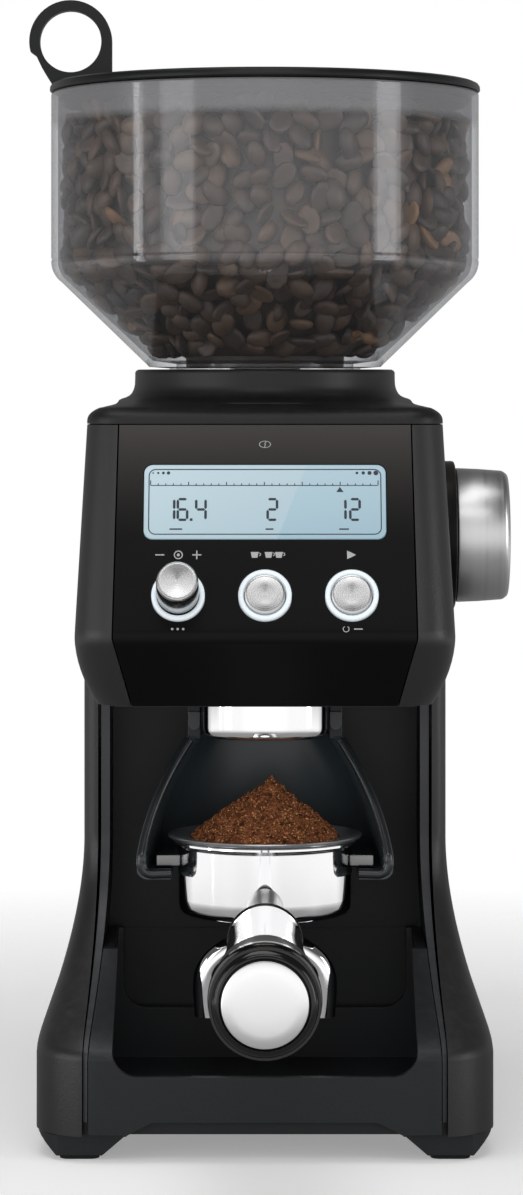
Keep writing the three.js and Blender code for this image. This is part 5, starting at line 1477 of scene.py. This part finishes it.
satinCap = metal("satinCap", gray(0.92), 0.3, 0.05)
capPiece = solid("handleCap", onHandle(capSide))
finished(capPiece, "filter_holder", satinCap, "handle_end_cap", sharp=35)

hub = low - 0.3
spoutHalf = 19.5
route = curveThrough([(-2, outletY, hub - 10), (-11.7, outletY, hub - 12), (-spoutHalf, outletY, hub - 20),
                      (-spoutHalf, outletY, 38)], 12)
spoutShape = tube(route, 4.4, 36)
hubSide = [(0, hub - 13), (6.4, hub - 13), (7, hub - 12.4), (7.4, hub - 3), (7, hub), (0, hub)]
spout = solid("doubleSpout", at(lathe(hubSide, 64), y=outletY))
join(spout, spoutShape, flipped(spoutShape))
for sign in (-1, 1):
    cut(spout, at(rod(3.5, 30, 44, 36), sign * spoutHalf, outletY))
cut(spout, block(-99, 99, -200, 99, 0, 38))
finished(spout, "filter_holder", chrome, "double_spout", sharp=35)
print("filter holder made")

# ---- inner nodes keep their own shape


def dress(node, material, bevel=0.0):
    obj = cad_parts[node]
    obj.data.materials.clear()
    obj.data.materials.append(material)
    if bevel:
        weld = obj.modifiers.new("weld", "WELD")
        weld.merge_threshold = 0.00001
        softEdges(obj, bevel, 2)


inner = [
    (boardGreen, "board", ("display_module", "control_board", "power_board")),
    (steel, "steel", ("motor_can", "motor_rotor", "idler_pin", "lower_bearing", "upper_bearing", "drive_shaft",
                      "lower_burr", "upper_burr", "upper_burr_carrier", "dial_shaft", "knob_shaft")),
    (nylonWhite, "nylon", ("idler_gear", "drive_gear", "adjusting_ring")),
    (bayPlastic, "bay_black", ("gearbox_tray", "burr_housing", "knob_encoder", "start_microswitch")),
    (cradlePlastic, "cradle_black", ("grind_chute",)),
    (rubberBlack, "rubber", ("cord_gland",)),
]
for material, slotName, names in inner:
    for name in names:
        dress(name, material)


# ---- floor

floor = {"size": 1.9, "clear": 0.3, "edge": 0.62, "glow": 0.3}


def makeFloor():
    material, g, surface = newMaterial("floor")
    place = g.add("TexCoord").outputs["Object"]
    away = g.add("VectorMath", operation="LENGTH")
    g.set(away, 0, place)
    fade = g.ramp(away.outputs["Value"], floor["clear"], floor["edge"], 1.0, 0.0)
    clouds = g.add("TexNoise", {"Vector": place, "Scale": 3.0, "Detail": 2.0})
    seen = g.add("LightPath").outputs["Is Camera Ray"]
    paleFloor = g.mixColor(clouds, (0.86, 0.86, 0.86, 1), (0.89, 0.89, 0.89, 1))
    g.set(surface, "Base Color", g.mixColor(seen, (0.45, 0.45, 0.45, 1), paleFloor))
    g.set(surface, "Roughness", 0.6)
    g.set(surface, "Specular IOR Level", 0.15)
    g.set(surface, "Emission Color", (1, 1, 1, 1))
    g.set(surface, "Emission Strength", g.math("MULTIPLY", seen, floor["glow"]))
    seeThrough = g.add("BsdfTransparent")
    mix = g.add("MixShader")
    g.set(mix, 0, fade)
    g.set(mix, 1, seeThrough)
    g.set(mix, 2, surface)
    g.set(g.out, "Surface", mix)
    half = floor["size"] / 2
    mesh = bpy.data.meshes.new("floor")
    mesh.from_pydata([(-half, -half, 0), (half, -half, 0), (half, half, 0), (-half, half, 0)], [], [[0, 1, 2, 3]])
    mesh.materials.append(material)
    obj = bpy.data.objects.new("floor", mesh)
    bpy.context.scene.collection.objects.link(obj)


makeFloor()
print("floor made")
